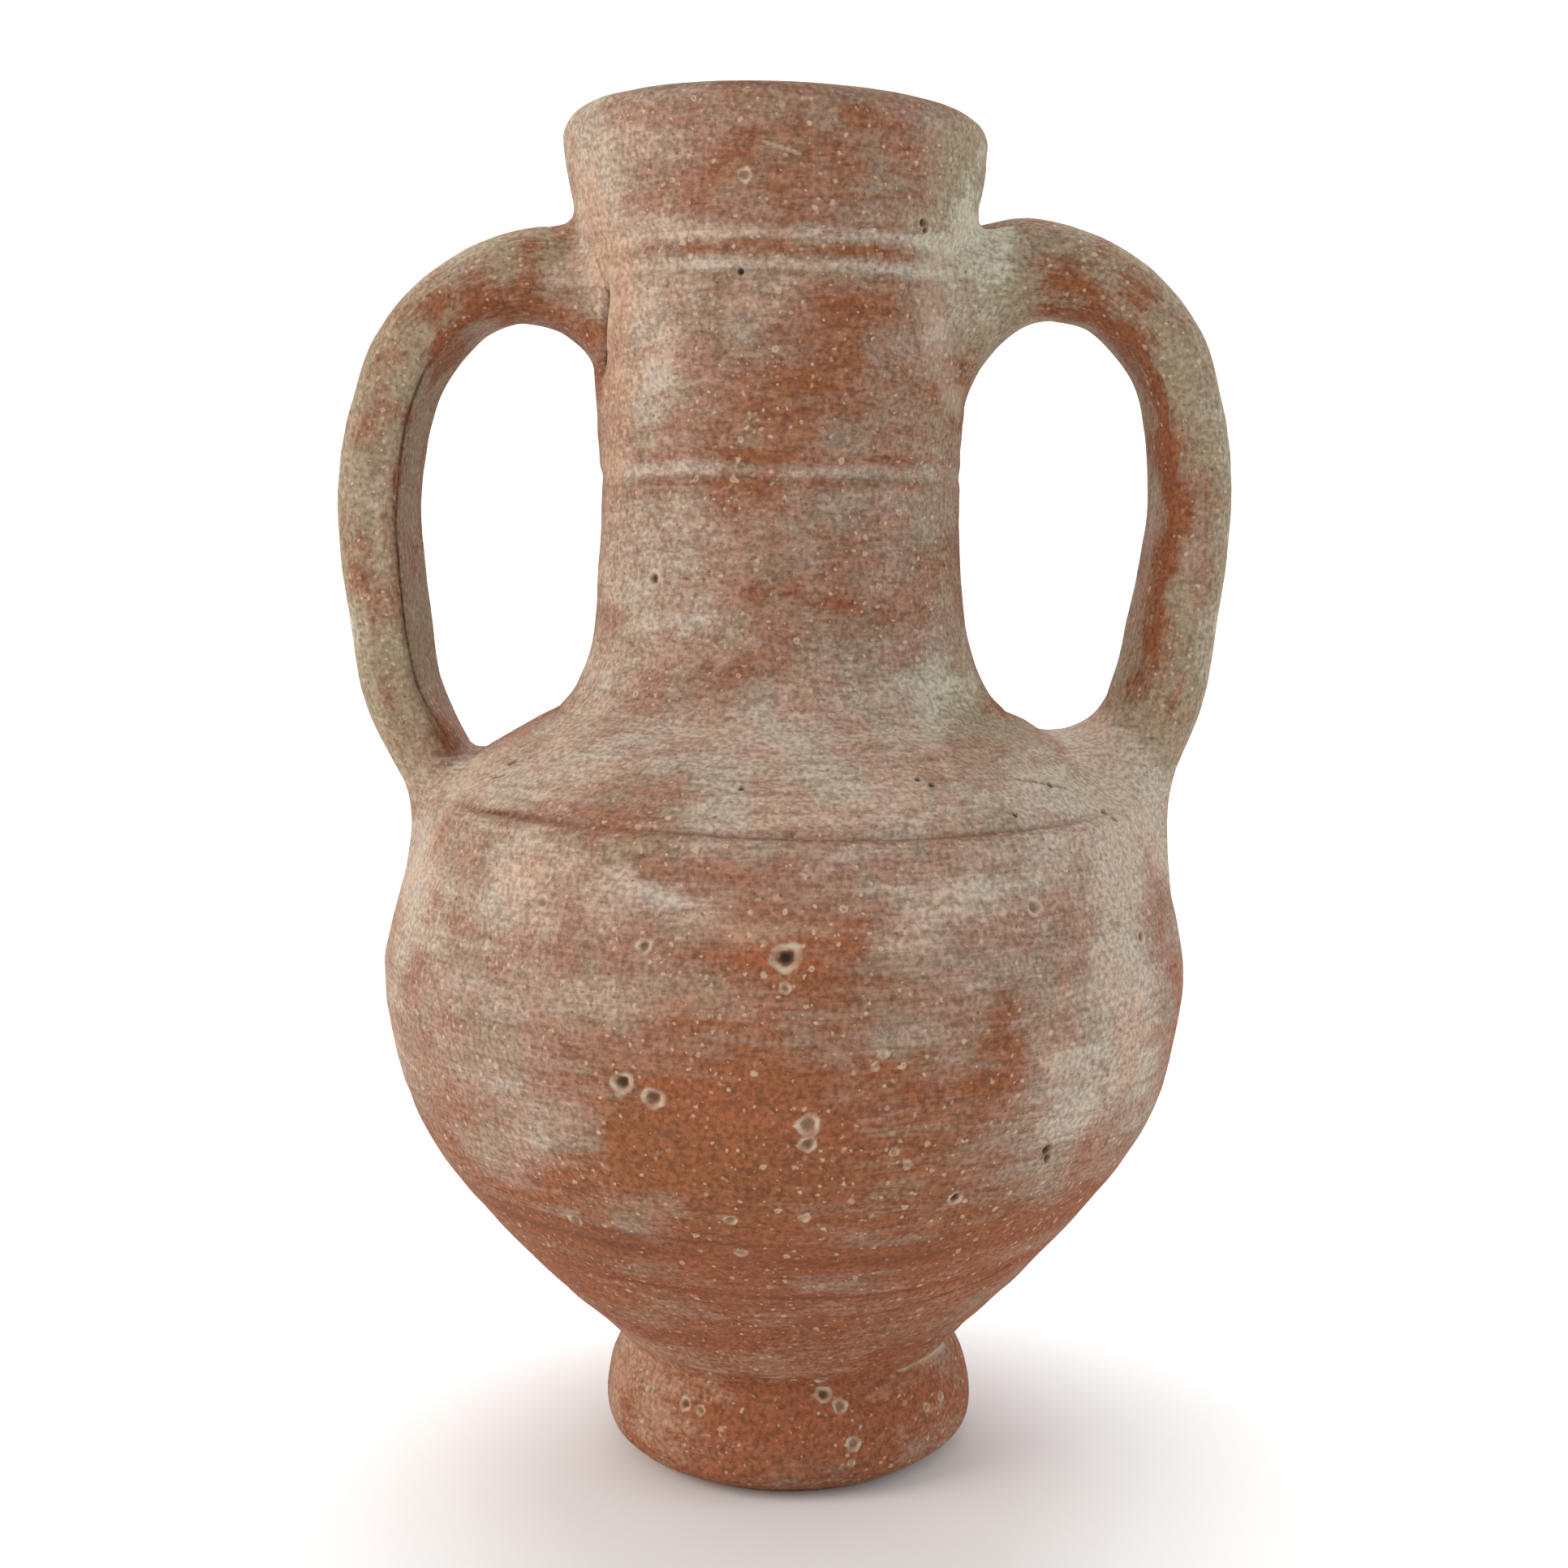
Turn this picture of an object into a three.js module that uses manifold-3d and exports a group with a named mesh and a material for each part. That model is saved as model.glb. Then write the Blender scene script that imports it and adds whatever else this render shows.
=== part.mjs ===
// Two-handled amphora of fired earthenware. Millimetres, +Z up.
// The origin is the centre of the circle that the foot stands on. The handles lie along X.
// The potter's pieces are separate solids: foot ring, belly, shoulder, neck, mouth collar, two strap
// handles, and the luting clay worked round each of the four handle joints.

import * as THREE from "three";
import { mergeVertices } from "three/addons/utils/BufferGeometryUtils.js";
import Module from "manifold-3d";

const wasm = await Module();
wasm.setup();

// ---- Driving dimensions ----

const HEIGHT = 300;
const WALL = 7; // thickness of the thrown wall
const JOINT_GAP = 0.3; // clearance kept between touching pieces
const SEAM_RISE = 0.39; // the upper side of a sloping seam rises this far, to keep that gap
const STUCK_ON_GAP = 0.42; // clearance of handles and clay from the wall's faceted surface
const ROUND_STEPS = 40; // facets round the jar

// Foot ring
const RESTING_INNER_RADIUS = 28; // inner edge of the flat that stands on the table
const RESTING_OUTER_RADIUS = 33.8;
const FOOT_RADIUS = 42.4;
const FOOT_WIDEST_Z = 8.4;
const RECESS_RADIUS = 24; // hollow under the foot, at its top
const RECESS_DEPTH = 15.6;
const RECESS_EDGE_Z = 2.5; // where the rounding of its lower edge starts

// Belly, from the waist over the foot to the ridge under the shoulder
const WAIST_RADIUS = 38.4;
const WAIST_Z = 25.6;
const BELLY_RADIUS = 89.7;
const BELLY_WIDEST_Z = 109.3;
const FLOOR_Z = 27.5; // inside of the belly, on the axis

// Shoulder and neck
const SEAM_WIDTH = 5.7; // the seams at both ends of the shoulder slope down and in by these two amounts
const SEAM_DROP = 4.6;
const RIDGE_RADIUS = 80;
const RIDGE_Z = 150.8;
const NECK_BASE_RADIUS = 50.2;
const NECK_BASE_Z = 170.4;
const NECK_RADIUS = 39.9; // at its narrowest
const NECK_NARROWEST_Z = 218;
const NECK_TOP_RADIUS = 41.9;

// Mouth collar
const COLLAR_BASE_RADIUS = 43.5;
const COLLAR_BASE_Z = 270.3;
const MOUTH_RADIUS = 46.4;
const THROAT_RADIUS = 36.6; // inside the collar, at mid height
const THROAT_Z = 284;
const LIP_RADIUS = 3.7; // rounding of the lip, outside and inside
const LIP_THICKNESS = 7.5;

// Strap handles
const STRAP_HALF_DEPTH = 14; // along Y
const STRAP_HALF_THICKNESS = 8; // across the strap, in the plane of the handle
const STRAP_ROOT_THICKENING = 1.8; // more half-thickness where it leaves the neck
const STRAP_SQUARENESS = 2.6; // exponent of the rounded section, 2 is an ellipse
const STRAP_STEPS = 26;
const SECTION_SIDES = 18;
const THICKENING_SPAN = [0.08, 0.3]; // fractions of the length over which the thickening dies away

// Luting clay at each handle joint
const CLAY_LIP = 1.1; // how far its thin end stands proud of the strap
const CLAY_STEPS = 5;
const UPPER_CLAY = { length: 18, growAcross: 9, growAlongY: 7 };
const LOWER_CLAY = { length: 20, growAcross: 6, growAlongY: 9 };

// ---- Outlines, as [radius, height] in the plane of the axis ----

const at = (radius, height) => new THREE.Vector2(radius, height);

// Where two thrown sections meet: the outer and the inner edge of the seam.
const WAIST = { outside: at(WAIST_RADIUS, WAIST_Z), inside: at(RECESS_RADIUS, RECESS_DEPTH) };
const RIDGE = {
  outside: at(RIDGE_RADIUS, RIDGE_Z),
  inside: at(RIDGE_RADIUS - SEAM_WIDTH, RIDGE_Z - SEAM_DROP),
};
const NECK_BASE = {
  outside: at(NECK_BASE_RADIUS, NECK_BASE_Z),
  inside: at(NECK_BASE_RADIUS - SEAM_WIDTH, NECK_BASE_Z - SEAM_DROP),
};
const NECK_TOP = {
  outside: at(NECK_TOP_RADIUS, COLLAR_BASE_Z),
  inside: at(NECK_TOP_RADIUS - WALL, COLLAR_BASE_Z),
};
const COLLAR_BASE = { outside: at(COLLAR_BASE_RADIUS, COLLAR_BASE_Z), inside: NECK_TOP.inside };

// The upper side of a seam, raised clear of the piece below it.
function raised(seam) {
  const rise = at(0, SEAM_RISE);
  return { outside: seam.outside.clone().add(rise), inside: seam.inside.clone().add(rise) };
}

// A smooth line through a few points, cut into a number of equal steps.
function smoothLine(points, steps) {
  return new THREE.SplineCurve(points).getSpacedPoints(steps);
}

// A line that climbs the outside of the wall, with each point moved outwards along its normal.
function offsetLine(points, distance) {
  return points.map((point, i) => {
    const before = points[Math.max(i - 1, 0)];
    const after = points[Math.min(i + 1, points.length - 1)];
    const along = after.clone().sub(before).normalize();
    return point.clone().add(at(along.y, -along.x).multiplyScalar(distance));
  });
}

// A turn of the rounded lip about its centre.
function lipArc(centre, fromAngle, toAngle, steps) {
  return Array.from({ length: steps + 1 }, (_, i) => {
    const angle = THREE.MathUtils.lerp(fromAngle, toAngle, i / steps);
    return centre.clone().add(at(Math.cos(angle), Math.sin(angle)).multiplyScalar(LIP_RADIUS));
  });
}

const footOutside = smoothLine(
  [
    at(RESTING_OUTER_RADIUS, 0),
    at(FOOT_RADIUS - 2.5, FOOT_WIDEST_Z - 4.8),
    at(FOOT_RADIUS, FOOT_WIDEST_Z),
    at(FOOT_RADIUS - 1.5, FOOT_WIDEST_Z + 9.4),
    WAIST.outside,
  ],
  8,
);

const bellyOutside = smoothLine(
  [
    raised(WAIST).outside,
    at(45.2, 34.1),
    at(64.1, 54.4),
    at(82.9, 80.9),
    at(BELLY_RADIUS, BELLY_WIDEST_Z),
    at(86.9, 129),
    RIDGE.outside,
  ],
  14,
);

const shoulderOutside = smoothLine(
  [raised(RIDGE).outside, at(68.2, 160.2), at(56.6, 167.2), NECK_BASE.outside],
  5,
);

const neckOutside = smoothLine(
  [
    raised(NECK_BASE).outside,
    at(45.8, 176),
    at(41.6, 189),
    at(NECK_RADIUS, NECK_NARROWEST_Z),
    at(41, 244),
    NECK_TOP.outside,
  ],
  9,
);

const lipCentreZ = HEIGHT - LIP_RADIUS;
const collarOutside = smoothLine(
  [raised(COLLAR_BASE).outside, at(44.5, 281), at(MOUTH_RADIUS, lipCentreZ)],
  3,
);

// ---- Solids ----

// The solid swept by a closed section turned once round the Z axis.
function turned(section) {
  return new THREE.LatheGeometry(section, ROUND_STEPS).rotateX(Math.PI / 2);
}

// The section of a thrown wall: up the outside, then down a wall's thickness within it.
function wallSection(outside, lower, upper) {
  const inside = offsetLine(outside, -WALL).slice(1, -1).reverse();
  return [...outside, upper.inside, ...inside, lower.inside, outside[0]];
}

function footRing() {
  const recess = [
    at(RECESS_RADIUS, RECESS_DEPTH),
    at(RECESS_RADIUS + 2.4, RECESS_EDGE_Z),
    at(RESTING_INNER_RADIUS, 0),
  ];
  return turned([...footOutside, ...recess, footOutside[0]]);
}

function belly() {
  const underside = [at(0, RECESS_DEPTH + JOINT_GAP), raised(WAIST).inside];
  const inside = offsetLine(bellyOutside, -WALL).slice(1, -1).reverse();
  return turned([...underside, ...bellyOutside, RIDGE.inside, ...inside, at(0, FLOOR_Z)]);
}

function mouthCollar() {
  const outerLip = lipArc(at(MOUTH_RADIUS - LIP_RADIUS, lipCentreZ), 0, Math.PI / 2, 3);
  const innerLip = lipArc(at(MOUTH_RADIUS - LIP_THICKNESS + LIP_RADIUS, lipCentreZ), Math.PI / 2, Math.PI, 3);
  const inside = [at(THROAT_RADIUS, THROAT_Z), raised(COLLAR_BASE).inside];
  return turned([...collarOutside, ...outerLip.slice(1), ...innerLip, ...inside, collarOutside[0]]);
}

// The jar's outer surface as one solid, a joint gap larger all over, which clears what is stuck on to it.
function wallClearance() {
  const outline = [...bellyOutside, ...shoulderOutside.slice(1), ...neckOutside.slice(1), ...collarOutside];
  const grown = offsetLine(outline, STUCK_ON_GAP);
  return turned([at(0, WAIST_Z), ...grown, at(0, lipCentreZ)]);
}

// A closed skin over a row of rings that all have the same number of points, with flat ends.
function loft(rings) {
  const sides = rings[0].length;
  const last = (rings.length - 1) * sides;
  const triangles = [];
  for (let ring = 0; ring + 1 < rings.length; ring += 1) {
    for (let side = 0; side < sides; side += 1) {
      const a = ring * sides + side;
      const b = ring * sides + ((side + 1) % sides);
      triangles.push(a, a + sides, b, b, a + sides, b + sides);
    }
  }
  for (let side = 1; side + 1 < sides; side += 1) {
    triangles.push(0, side, side + 1);
    triangles.push(last, last + side + 1, last + side);
  }
  const geometry = new THREE.BufferGeometry().setFromPoints(rings.flat());
  geometry.setIndex(triangles);
  return geometry;
}

// The middle line of a handle, from inside the neck wall, over the arch, to inside the shoulder.
const handlePath = new THREE.CatmullRomCurve3(
  [
    [36, 264],
    [57, 266.6],
    [74, 259.8],
    [86, 243.5],
    [90.5, 217],
    [88.8, 192],
    [83.8, 171],
    [69, 144],
  ].map(([x, z]) => new THREE.Vector3(x, 0, z)),
);

// Half the strap's thickness at a fraction of the way along it.
function strapHalfThickness(fraction) {
  const faded = THREE.MathUtils.smoothstep(fraction, ...THICKENING_SPAN);
  return STRAP_HALF_THICKNESS + STRAP_ROOT_THICKENING * (1 - faded);
}

// One ring of the rounded strap section, square to the path.
function strapRing(fraction, growAcross, growAlongY) {
  const centre = handlePath.getPointAt(fraction);
  const along = handlePath.getTangentAt(fraction);
  const across = new THREE.Vector3(-along.z, 0, along.x);
  const halfAcross = strapHalfThickness(fraction) + growAcross;
  const halfAlongY = STRAP_HALF_DEPTH + growAlongY;
  const rounded = (value) => Math.sign(value) * Math.abs(value) ** (2 / STRAP_SQUARENESS);
  return Array.from({ length: SECTION_SIDES }, (_, side) => {
    const angle = (2 * Math.PI * (side + 0.5)) / SECTION_SIDES;
    const point = centre.clone().addScaledVector(across, rounded(Math.cos(angle)) * halfAcross);
    point.y = rounded(Math.sin(angle)) * halfAlongY;
    return point;
  });
}

function strap(grow) {
  const fractions = Array.from({ length: STRAP_STEPS + 1 }, (_, i) => i / STRAP_STEPS);
  return loft(fractions.map((fraction) => strapRing(fraction, grow, grow)));
}

// The flare of clay round one end of a handle: widest at the wall, thinning along the strap.
function clayFlare(clay, isUpper) {
  const reach = (clay.length + WALL) / handlePath.getLength();
  const steps = Array.from({ length: CLAY_STEPS + 1 }, (_, i) => i / CLAY_STEPS);
  const rings = steps.map((step) => {
    const spread = (1 - step) ** 2;
    const fraction = isUpper ? step * reach : 1 - step * reach;
    return strapRing(fraction, CLAY_LIP + spread * clay.growAcross, CLAY_LIP + spread * clay.growAlongY);
  });
  return loft(isUpper ? rings : rings.reverse());
}

// ---- Cutting ----

function toManifold(geometry) {
  const bare = geometry.clone();
  bare.deleteAttribute("normal");
  bare.deleteAttribute("uv");
  const merged = mergeVertices(bare, 1e-4);
  return new wasm.Manifold(
    new wasm.Mesh({
      numProp: 3,
      vertProperties: merged.attributes.position.array,
      triVerts: new Uint32Array(merged.index.array),
    }),
  );
}

function toGeometry(solid) {
  const mesh = solid.getMesh();
  const geometry = new THREE.BufferGeometry();
  geometry.setAttribute("position", new THREE.BufferAttribute(mesh.vertProperties, mesh.numProp));
  geometry.setIndex(new THREE.BufferAttribute(mesh.triVerts, 1));
  geometry.computeVertexNormals();
  return geometry;
}

const wallSpace = toManifold(wallClearance());
const strapSpace = toManifold(strap(JOINT_GAP));

function handle() {
  return toGeometry(toManifold(strap(0)).subtract(wallSpace));
}

function lutingClay(clay, isUpper) {
  return toGeometry(toManifold(clayFlare(clay, isUpper)).subtract(wallSpace).subtract(strapSpace));
}

// ---- Assembly ----

function firedClay(color) {
  return new THREE.MeshStandardMaterial({ color, roughness: 0.9, metalness: 0 });
}

function addPiece(parent, name, geometry, color) {
  const piece = new THREE.Mesh(geometry, firedClay(color));
  piece.name = name;
  parent.add(piece);
}

const amphora = new THREE.Group();
addPiece(amphora, "foot_ring", footRing(), 0x9c5f42);
addPiece(amphora, "belly", belly(), 0xa1694d);
addPiece(amphora, "shoulder", turned(wallSection(shoulderOutside, raised(RIDGE), NECK_BASE)), 0xa98a76);
addPiece(amphora, "neck", turned(wallSection(neckOutside, raised(NECK_BASE), NECK_TOP)), 0x9b7864);
addPiece(amphora, "mouth_collar", mouthCollar(), 0x937659);

// The left side is the mirror image of the right.
for (const [side, mirror] of [
  ["left", -1],
  ["right", 1],
]) {
  const half = new THREE.Group();
  half.scale.x = mirror;
  addPiece(half, `handle_${side}`, handle(), 0x9e866c);
  addPiece(half, `luting_clay_${side}_upper`, lutingClay(UPPER_CLAY, true), 0x9f8570);
  addPiece(half, `luting_clay_${side}_lower`, lutingClay(LOWER_CLAY, false), 0xa58b78);
  amphora.add(half);
}

export default amphora;
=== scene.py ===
# The looks of a two-handled earthenware amphora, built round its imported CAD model.
# Sizes here are in millimetres and are turned into metres when a mesh is made.
# Angles run round the jar's axis from the front (-Y), positive towards the right handle (+X).

import math
from collections import namedtuple
from types import SimpleNamespace

import bmesh
import bpy
import numpy as np
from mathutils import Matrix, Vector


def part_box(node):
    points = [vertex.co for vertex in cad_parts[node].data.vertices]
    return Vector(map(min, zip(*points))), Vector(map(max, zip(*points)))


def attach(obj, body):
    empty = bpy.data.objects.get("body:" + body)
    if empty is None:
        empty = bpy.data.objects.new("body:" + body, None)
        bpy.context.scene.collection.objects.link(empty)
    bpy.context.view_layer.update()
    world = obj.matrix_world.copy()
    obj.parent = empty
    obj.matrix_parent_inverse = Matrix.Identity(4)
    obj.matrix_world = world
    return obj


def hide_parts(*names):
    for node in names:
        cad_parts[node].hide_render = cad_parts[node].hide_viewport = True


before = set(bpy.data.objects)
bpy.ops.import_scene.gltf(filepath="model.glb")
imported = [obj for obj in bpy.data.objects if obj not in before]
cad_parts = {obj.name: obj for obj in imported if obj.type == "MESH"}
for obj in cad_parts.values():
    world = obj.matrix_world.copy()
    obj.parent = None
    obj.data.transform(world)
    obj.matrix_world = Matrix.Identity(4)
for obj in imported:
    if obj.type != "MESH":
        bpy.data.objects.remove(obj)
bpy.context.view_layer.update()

METRE = 0.001  # one millimetre, in Blender's metres
SEED = 4207
ROUNDING = 0.001  # meshes keep places in single precision
SHARP_ANGLE = math.radians(55)
FULL_TURN = 2 * math.pi


# ---- sizes, read from the frame

def cad_high(node):
    """The highest corner of a CAD node's box, in millimetres."""
    return np.array(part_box(node)[1]) / METRE


FOOT_RADIUS, _, WAIST_Z = cad_high("foot_ring")
BELLY_RADIUS, _, RIDGE_Z = cad_high("belly")
RIDGE_RADIUS, _, NECK_BASE_Z = cad_high("shoulder")
NECK_BASE_RADIUS, _, COLLAR_Z = cad_high("neck")
MOUTH_RADIUS, _, HEIGHT = cad_high("mouth_collar")

WAIST_RADIUS = 0.89 * FOOT_RADIUS
NECK_RADIUS = 0.795 * NECK_BASE_RADIUS
NECK_TOP_RADIUS = 1.063 * NECK_RADIUS
WALL = 7.0  # thickness of the thrown wall
FLOOR_Z = WAIST_Z + 2  # inside of the belly, on the axis
RECESS_RADIUS = 0.57 * FOOT_RADIUS  # hollow under the foot
RECESS_TOP_Z = 15.6
LIP_Z = HEIGHT - 0.7  # the lip is worn a little lower than its highest point
LIP_OUTER_RADIUS = 5.2
LIP_INNER_RADIUS = 3.0

COLUMNS = 468  # steps round the jar
ROW_STEP = 1.2  # height of a row of faces on the plain outside
INNER_ROW_STEP = 5.0
OUTLINE_STEP = 0.1  # between the points that rows are chosen from
SPAN_POINTS = 60  # points worked out on each span of a smooth line


# ---- lines and fields

def smooth_line(points, step):
    """Points a step apart along a Catmull-Rom curve through a few points."""
    knots = np.array(points, float)
    knots = np.vstack([2 * knots[0] - knots[1], knots, 2 * knots[-1] - knots[-2]])
    t = np.linspace(0, 1, SPAN_POINTS, endpoint=False)[:, None]
    dense = []
    for before, start, end, after in zip(knots, knots[1:], knots[2:], knots[3:]):
        bend = 2 * before - 5 * start + 4 * end - after
        turn = 3 * start - 3 * end + after - before
        dense.append(0.5 * (2 * start + (end - before) * t + bend * t**2 + turn * t**3))
    dense = np.vstack(dense + [knots[-2][None]])
    length = along(dense)
    places = np.linspace(0, length[-1], max(2, round(length[-1] / step) + 1))
    return pick(dense, length, places)


def along(points):
    """The distance of each point from the first, along the line."""
    steps = np.linalg.norm(np.diff(points, axis=0), axis=1)
    return np.concatenate([[0], np.cumsum(steps)])


def pick(line, length, places):
    """Points of a line at some places along it."""
    return np.stack([np.interp(places, length, column) for column in line.T], axis=-1)


def outward(points):
    """The outward normal at each point of a line that climbs the outside of the wall."""
    tangent = unit(np.gradient(points, axis=0))
    return np.stack([tangent[:, 1], -tangent[:, 0]], axis=1)


def unit(vectors):
    return vectors / np.linalg.norm(vectors, axis=-1, keepdims=True)


def rise(low, high, share):
    return low + (high - low) * share


def smoothstep(low, high, value):
    t = np.clip((value - low) / (high - low), 0, 1)
    return t * t * (3 - 2 * t)


def between(low, full_low, full_high, high, value):
    """1 from one full value to the other, fading to 0 at the low and high ends."""
    return smoothstep(low, full_low, value) * (1 - smoothstep(full_high, high, value))


def bell(offset, width):
    """1 where there is no offset, fading smoothly away over a few widths."""
    return np.exp(-((offset / width) ** 2))


def turned_by(angle, start):
    """The smallest turn from one angle to another, in radians."""
    return (angle - start + math.pi) % FULL_TURN - math.pi


def waves(points, size, seed, count=28):
    """A smooth random field, mostly between -1 and 1, with features about one size across."""
    rng = np.random.default_rng(SEED + seed)
    direction = unit(rng.normal(size=(count, 3)))
    direction *= (math.pi / size) * rng.uniform(0.5, 1.5, (count, 1))
    phase = rng.uniform(0, FULL_TURN, count)
    return np.sin(points @ direction.T + phase).sum(axis=1) / math.sqrt(count)


def layered(points, layers):
    """The sum of several wave fields, each given as its strength, size and seed."""
    return sum(strength * waves(points, size, seed) for strength, size, seed in layers)


def around(angle, radius, height):
    """Points on circles round the Z axis, as an array of x, y, z."""
    return np.stack([radius * np.sin(angle), -radius * np.cos(angle), height], axis=-1)


# ---- the outline of the wall

# Grooves cut on the wheel: height, half width, depth, and how far they wander.
GROOVES = [
    (COLLAR_Z - 0.2, 1.6, 0.4, 0.25), (COLLAR_Z - 6.4, 1.5, 0.5, 0.3),
    (NECK_BASE_Z + 52.2, 1.8, 0.95, 0.8),
]
# Lines where two sections were joined or the turning tool paused: height, half width, depth.
SEAM_LINES = [
    (RIDGE_Z + 2.2, 0.8, 0.6), (WAIST_Z + 1.5, 1.5, 0.4), (WAIST_Z + 41.6, 1.8, 0.35),
    (WAIST_Z + 31, 1.0, 0.3), (WAIST_Z + 28, 0.9, 0.15),
]


def climb(*points):
    """Rows up a stretch of the outline, closer together near grooves and seams."""
    dense = smooth_line(points, OUTLINE_STEP)
    density = np.ones(len(dense))
    for height, half_width, *_ in GROOVES + SEAM_LINES:
        density += 1.3 * bell(dense[:, 1] - height, 1.6 * half_width)
    place = np.concatenate([[0], np.cumsum(density[1:])])
    rows = np.linspace(0, place[-1], max(4, round(place[-1] * OUTLINE_STEP / ROW_STEP)))
    return pick(dense, place, rows)


foot_line = climb(
    (0.797 * FOOT_RADIUS, 0),
    (0.94 * FOOT_RADIUS, 0.14 * WAIST_Z),
    (FOOT_RADIUS, 0.32 * WAIST_Z),
    (0.967 * FOOT_RADIUS, 0.7 * WAIST_Z),
    (WAIST_RADIUS, WAIST_Z),
)
belly_line = climb(
    (WAIST_RADIUS, WAIST_Z),
    (0.504 * BELLY_RADIUS, rise(WAIST_Z, RIDGE_Z, 0.068)),
    (0.715 * BELLY_RADIUS, rise(WAIST_Z, RIDGE_Z, 0.23)),
    (0.924 * BELLY_RADIUS, rise(WAIST_Z, RIDGE_Z, 0.442)),
    (BELLY_RADIUS, rise(WAIST_Z, RIDGE_Z, 0.668)),
    (0.969 * BELLY_RADIUS, rise(WAIST_Z, RIDGE_Z, 0.826)),
    (RIDGE_RADIUS, RIDGE_Z),
)
shoulder_line = climb(
    (RIDGE_RADIUS, RIDGE_Z),
    (rise(RIDGE_RADIUS, NECK_BASE_RADIUS, 0.4), rise(RIDGE_Z, NECK_BASE_Z, 0.48)),
    (rise(RIDGE_RADIUS, NECK_BASE_RADIUS, 0.785), rise(RIDGE_Z, NECK_BASE_Z, 0.837)),
    (NECK_BASE_RADIUS, NECK_BASE_Z),
)
neck_line = climb(
    (NECK_BASE_RADIUS, NECK_BASE_Z),
    (1.148 * NECK_RADIUS, rise(NECK_BASE_Z, COLLAR_Z, 0.056)),
    (1.043 * NECK_RADIUS, rise(NECK_BASE_Z, COLLAR_Z, 0.186)),
    (NECK_RADIUS, rise(NECK_BASE_Z, COLLAR_Z, 0.476)),
    (1.03 * NECK_RADIUS, rise(NECK_BASE_Z, COLLAR_Z, 0.737)),
    (NECK_TOP_RADIUS, COLLAR_Z),
)
collar_line = climb(
    (NECK_TOP_RADIUS, COLLAR_Z),
    (0.942 * MOUTH_RADIUS, COLLAR_Z + 3.2),
    (0.962 * MOUTH_RADIUS, rise(COLLAR_Z, LIP_Z, 0.38)),
    (0.985 * MOUTH_RADIUS, rise(COLLAR_Z, LIP_Z, 0.62)),
    (MOUTH_RADIUS, LIP_Z - LIP_OUTER_RADIUS),
)

LIP_TURN = np.linspace(0, math.pi / 2, 10)[:, None]
lip_centre = np.array([MOUTH_RADIUS - LIP_OUTER_RADIUS, LIP_Z - LIP_OUTER_RADIUS])
lip_corner = lip_centre + LIP_OUTER_RADIUS * np.hstack([np.cos(LIP_TURN), np.sin(LIP_TURN)])
collar_line = np.vstack([collar_line, lip_corner[1:]])

OUTLINES = {
    "foot_ring": foot_line,
    "belly": belly_line,
    "shoulder": shoulder_line,
    "neck": neck_line,
    "mouth_collar": collar_line,
}
outline = np.vstack([foot_line[:1]] + [line[1:] for line in OUTLINES.values()])
outline_length = along(outline)
outline_normal = outward(outline)


def length_at(height):
    """The distance up the outline at a height."""
    return float(np.interp(height, outline[:, 1], outline_length))


# ---- marks on the wall

# Lime grains that burst the surface: angle in degrees, height, radius, and how dark the pit is.
FRONT_SPALLS = [
    (0, 131, 3.3, 1.0), (-20, 106, 2.6, 0.9), (-16, 103.5, 2.5, 0.6), (3, 99.5, 2.4, 0.15),
    (3, 95.5, 1.9, 0.35), (24, 81, 1.9, 0.9), (0, 125.5, 1.4, 0.4), (-34, 143, 1.5, 0.35),
    (-34, 138, 1.7, 0.2), (-18, 132, 1.7, 0.4), (35, 138, 2.0, 0.2), (57, 128, 2.0, 0.5),
    (12, 113, 1.2, 0.0), (11, 110.5, 1.0, 0.0), (14, 93, 1.1, 0.1), (16, 90, 1.1, 0.0),
    (-32, 72.5, 1.8, 0.1), (-7, 78, 1.6, 0.2), (3, 79, 1.3, 0.0), (-6, 69, 1.5, 0.1),
    (-40, 200, 2.1, 0.8), (-34, 20, 1.7, 0.5), (-50, 20, 1.5, 0.3), (-28, 19.5, 1.3, 0.4),
    (12, 24, 2.1, 0.6), (11, 27.5, 1.7, 0.5), (17, 21.5, 1.8, 0.1), (20, 13.5, 1.8, 0.1),
    (19, 9.5, 1.0, 0.0), (49, 16.5, 1.2, 0.2), (57, 17, 1.2, 0.2), (-8, 280.5, 1.6, 0.1),
]
# Small dark holes left by burnt-out straw: angle, height, radius.
HOLES = [
    (-7, 160.5, 0.7), (-10, 262, 0.8), (43, 273.8, 0.9), (44.5, 272.4, 0.7), (77, 218, 0.8),
    (60, 153, 1.0), (60.5, 151.5, 0.9), (38, 88, 1.3), (38.5, 86, 1.0), (-33, 150, 0.6),
    (-58, 161.2, 1.3), (24, 162, 0.7), (26, 161, 0.8), (38, 155, 0.7), (52, 159, 0.8),
]
# Scratches: angle and height of each end, half width, depth, and whether it is pale or dark.
SCRATCHES = [
    ((-3, 286.8), (6, 284.6), 0.28, 0.2, "pale"),
    ((47, 56), (13, 49.5), 0.35, 0.35, "dark"),
    ((42, 25.6), (72, 25.2), 0.45, 0.1, "pale"),
    ((-31, 29.2), (-19, 28.9), 0.5, 0.05, "pale"),
    ((-7, 28.4), (-1, 28.4), 0.4, 0.05, "pale"),
    ((-59, 158), (-56, 159), 0.3, 0.3, "dark"),
    ((45, 161), (56, 158), 0.3, 0.3, "dark"),
]
BACK_SPALLS = 30
BACK_HEIGHTS = (12, 265)
# Depths of a burst grain, of the rim pushed up round it, and of a straw hole.
SPALL_DEPTH = 0.28  # of its radius
SPALL_RIM = 0.09
HOLE_DEPTH = 1.1  # of its radius


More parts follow.
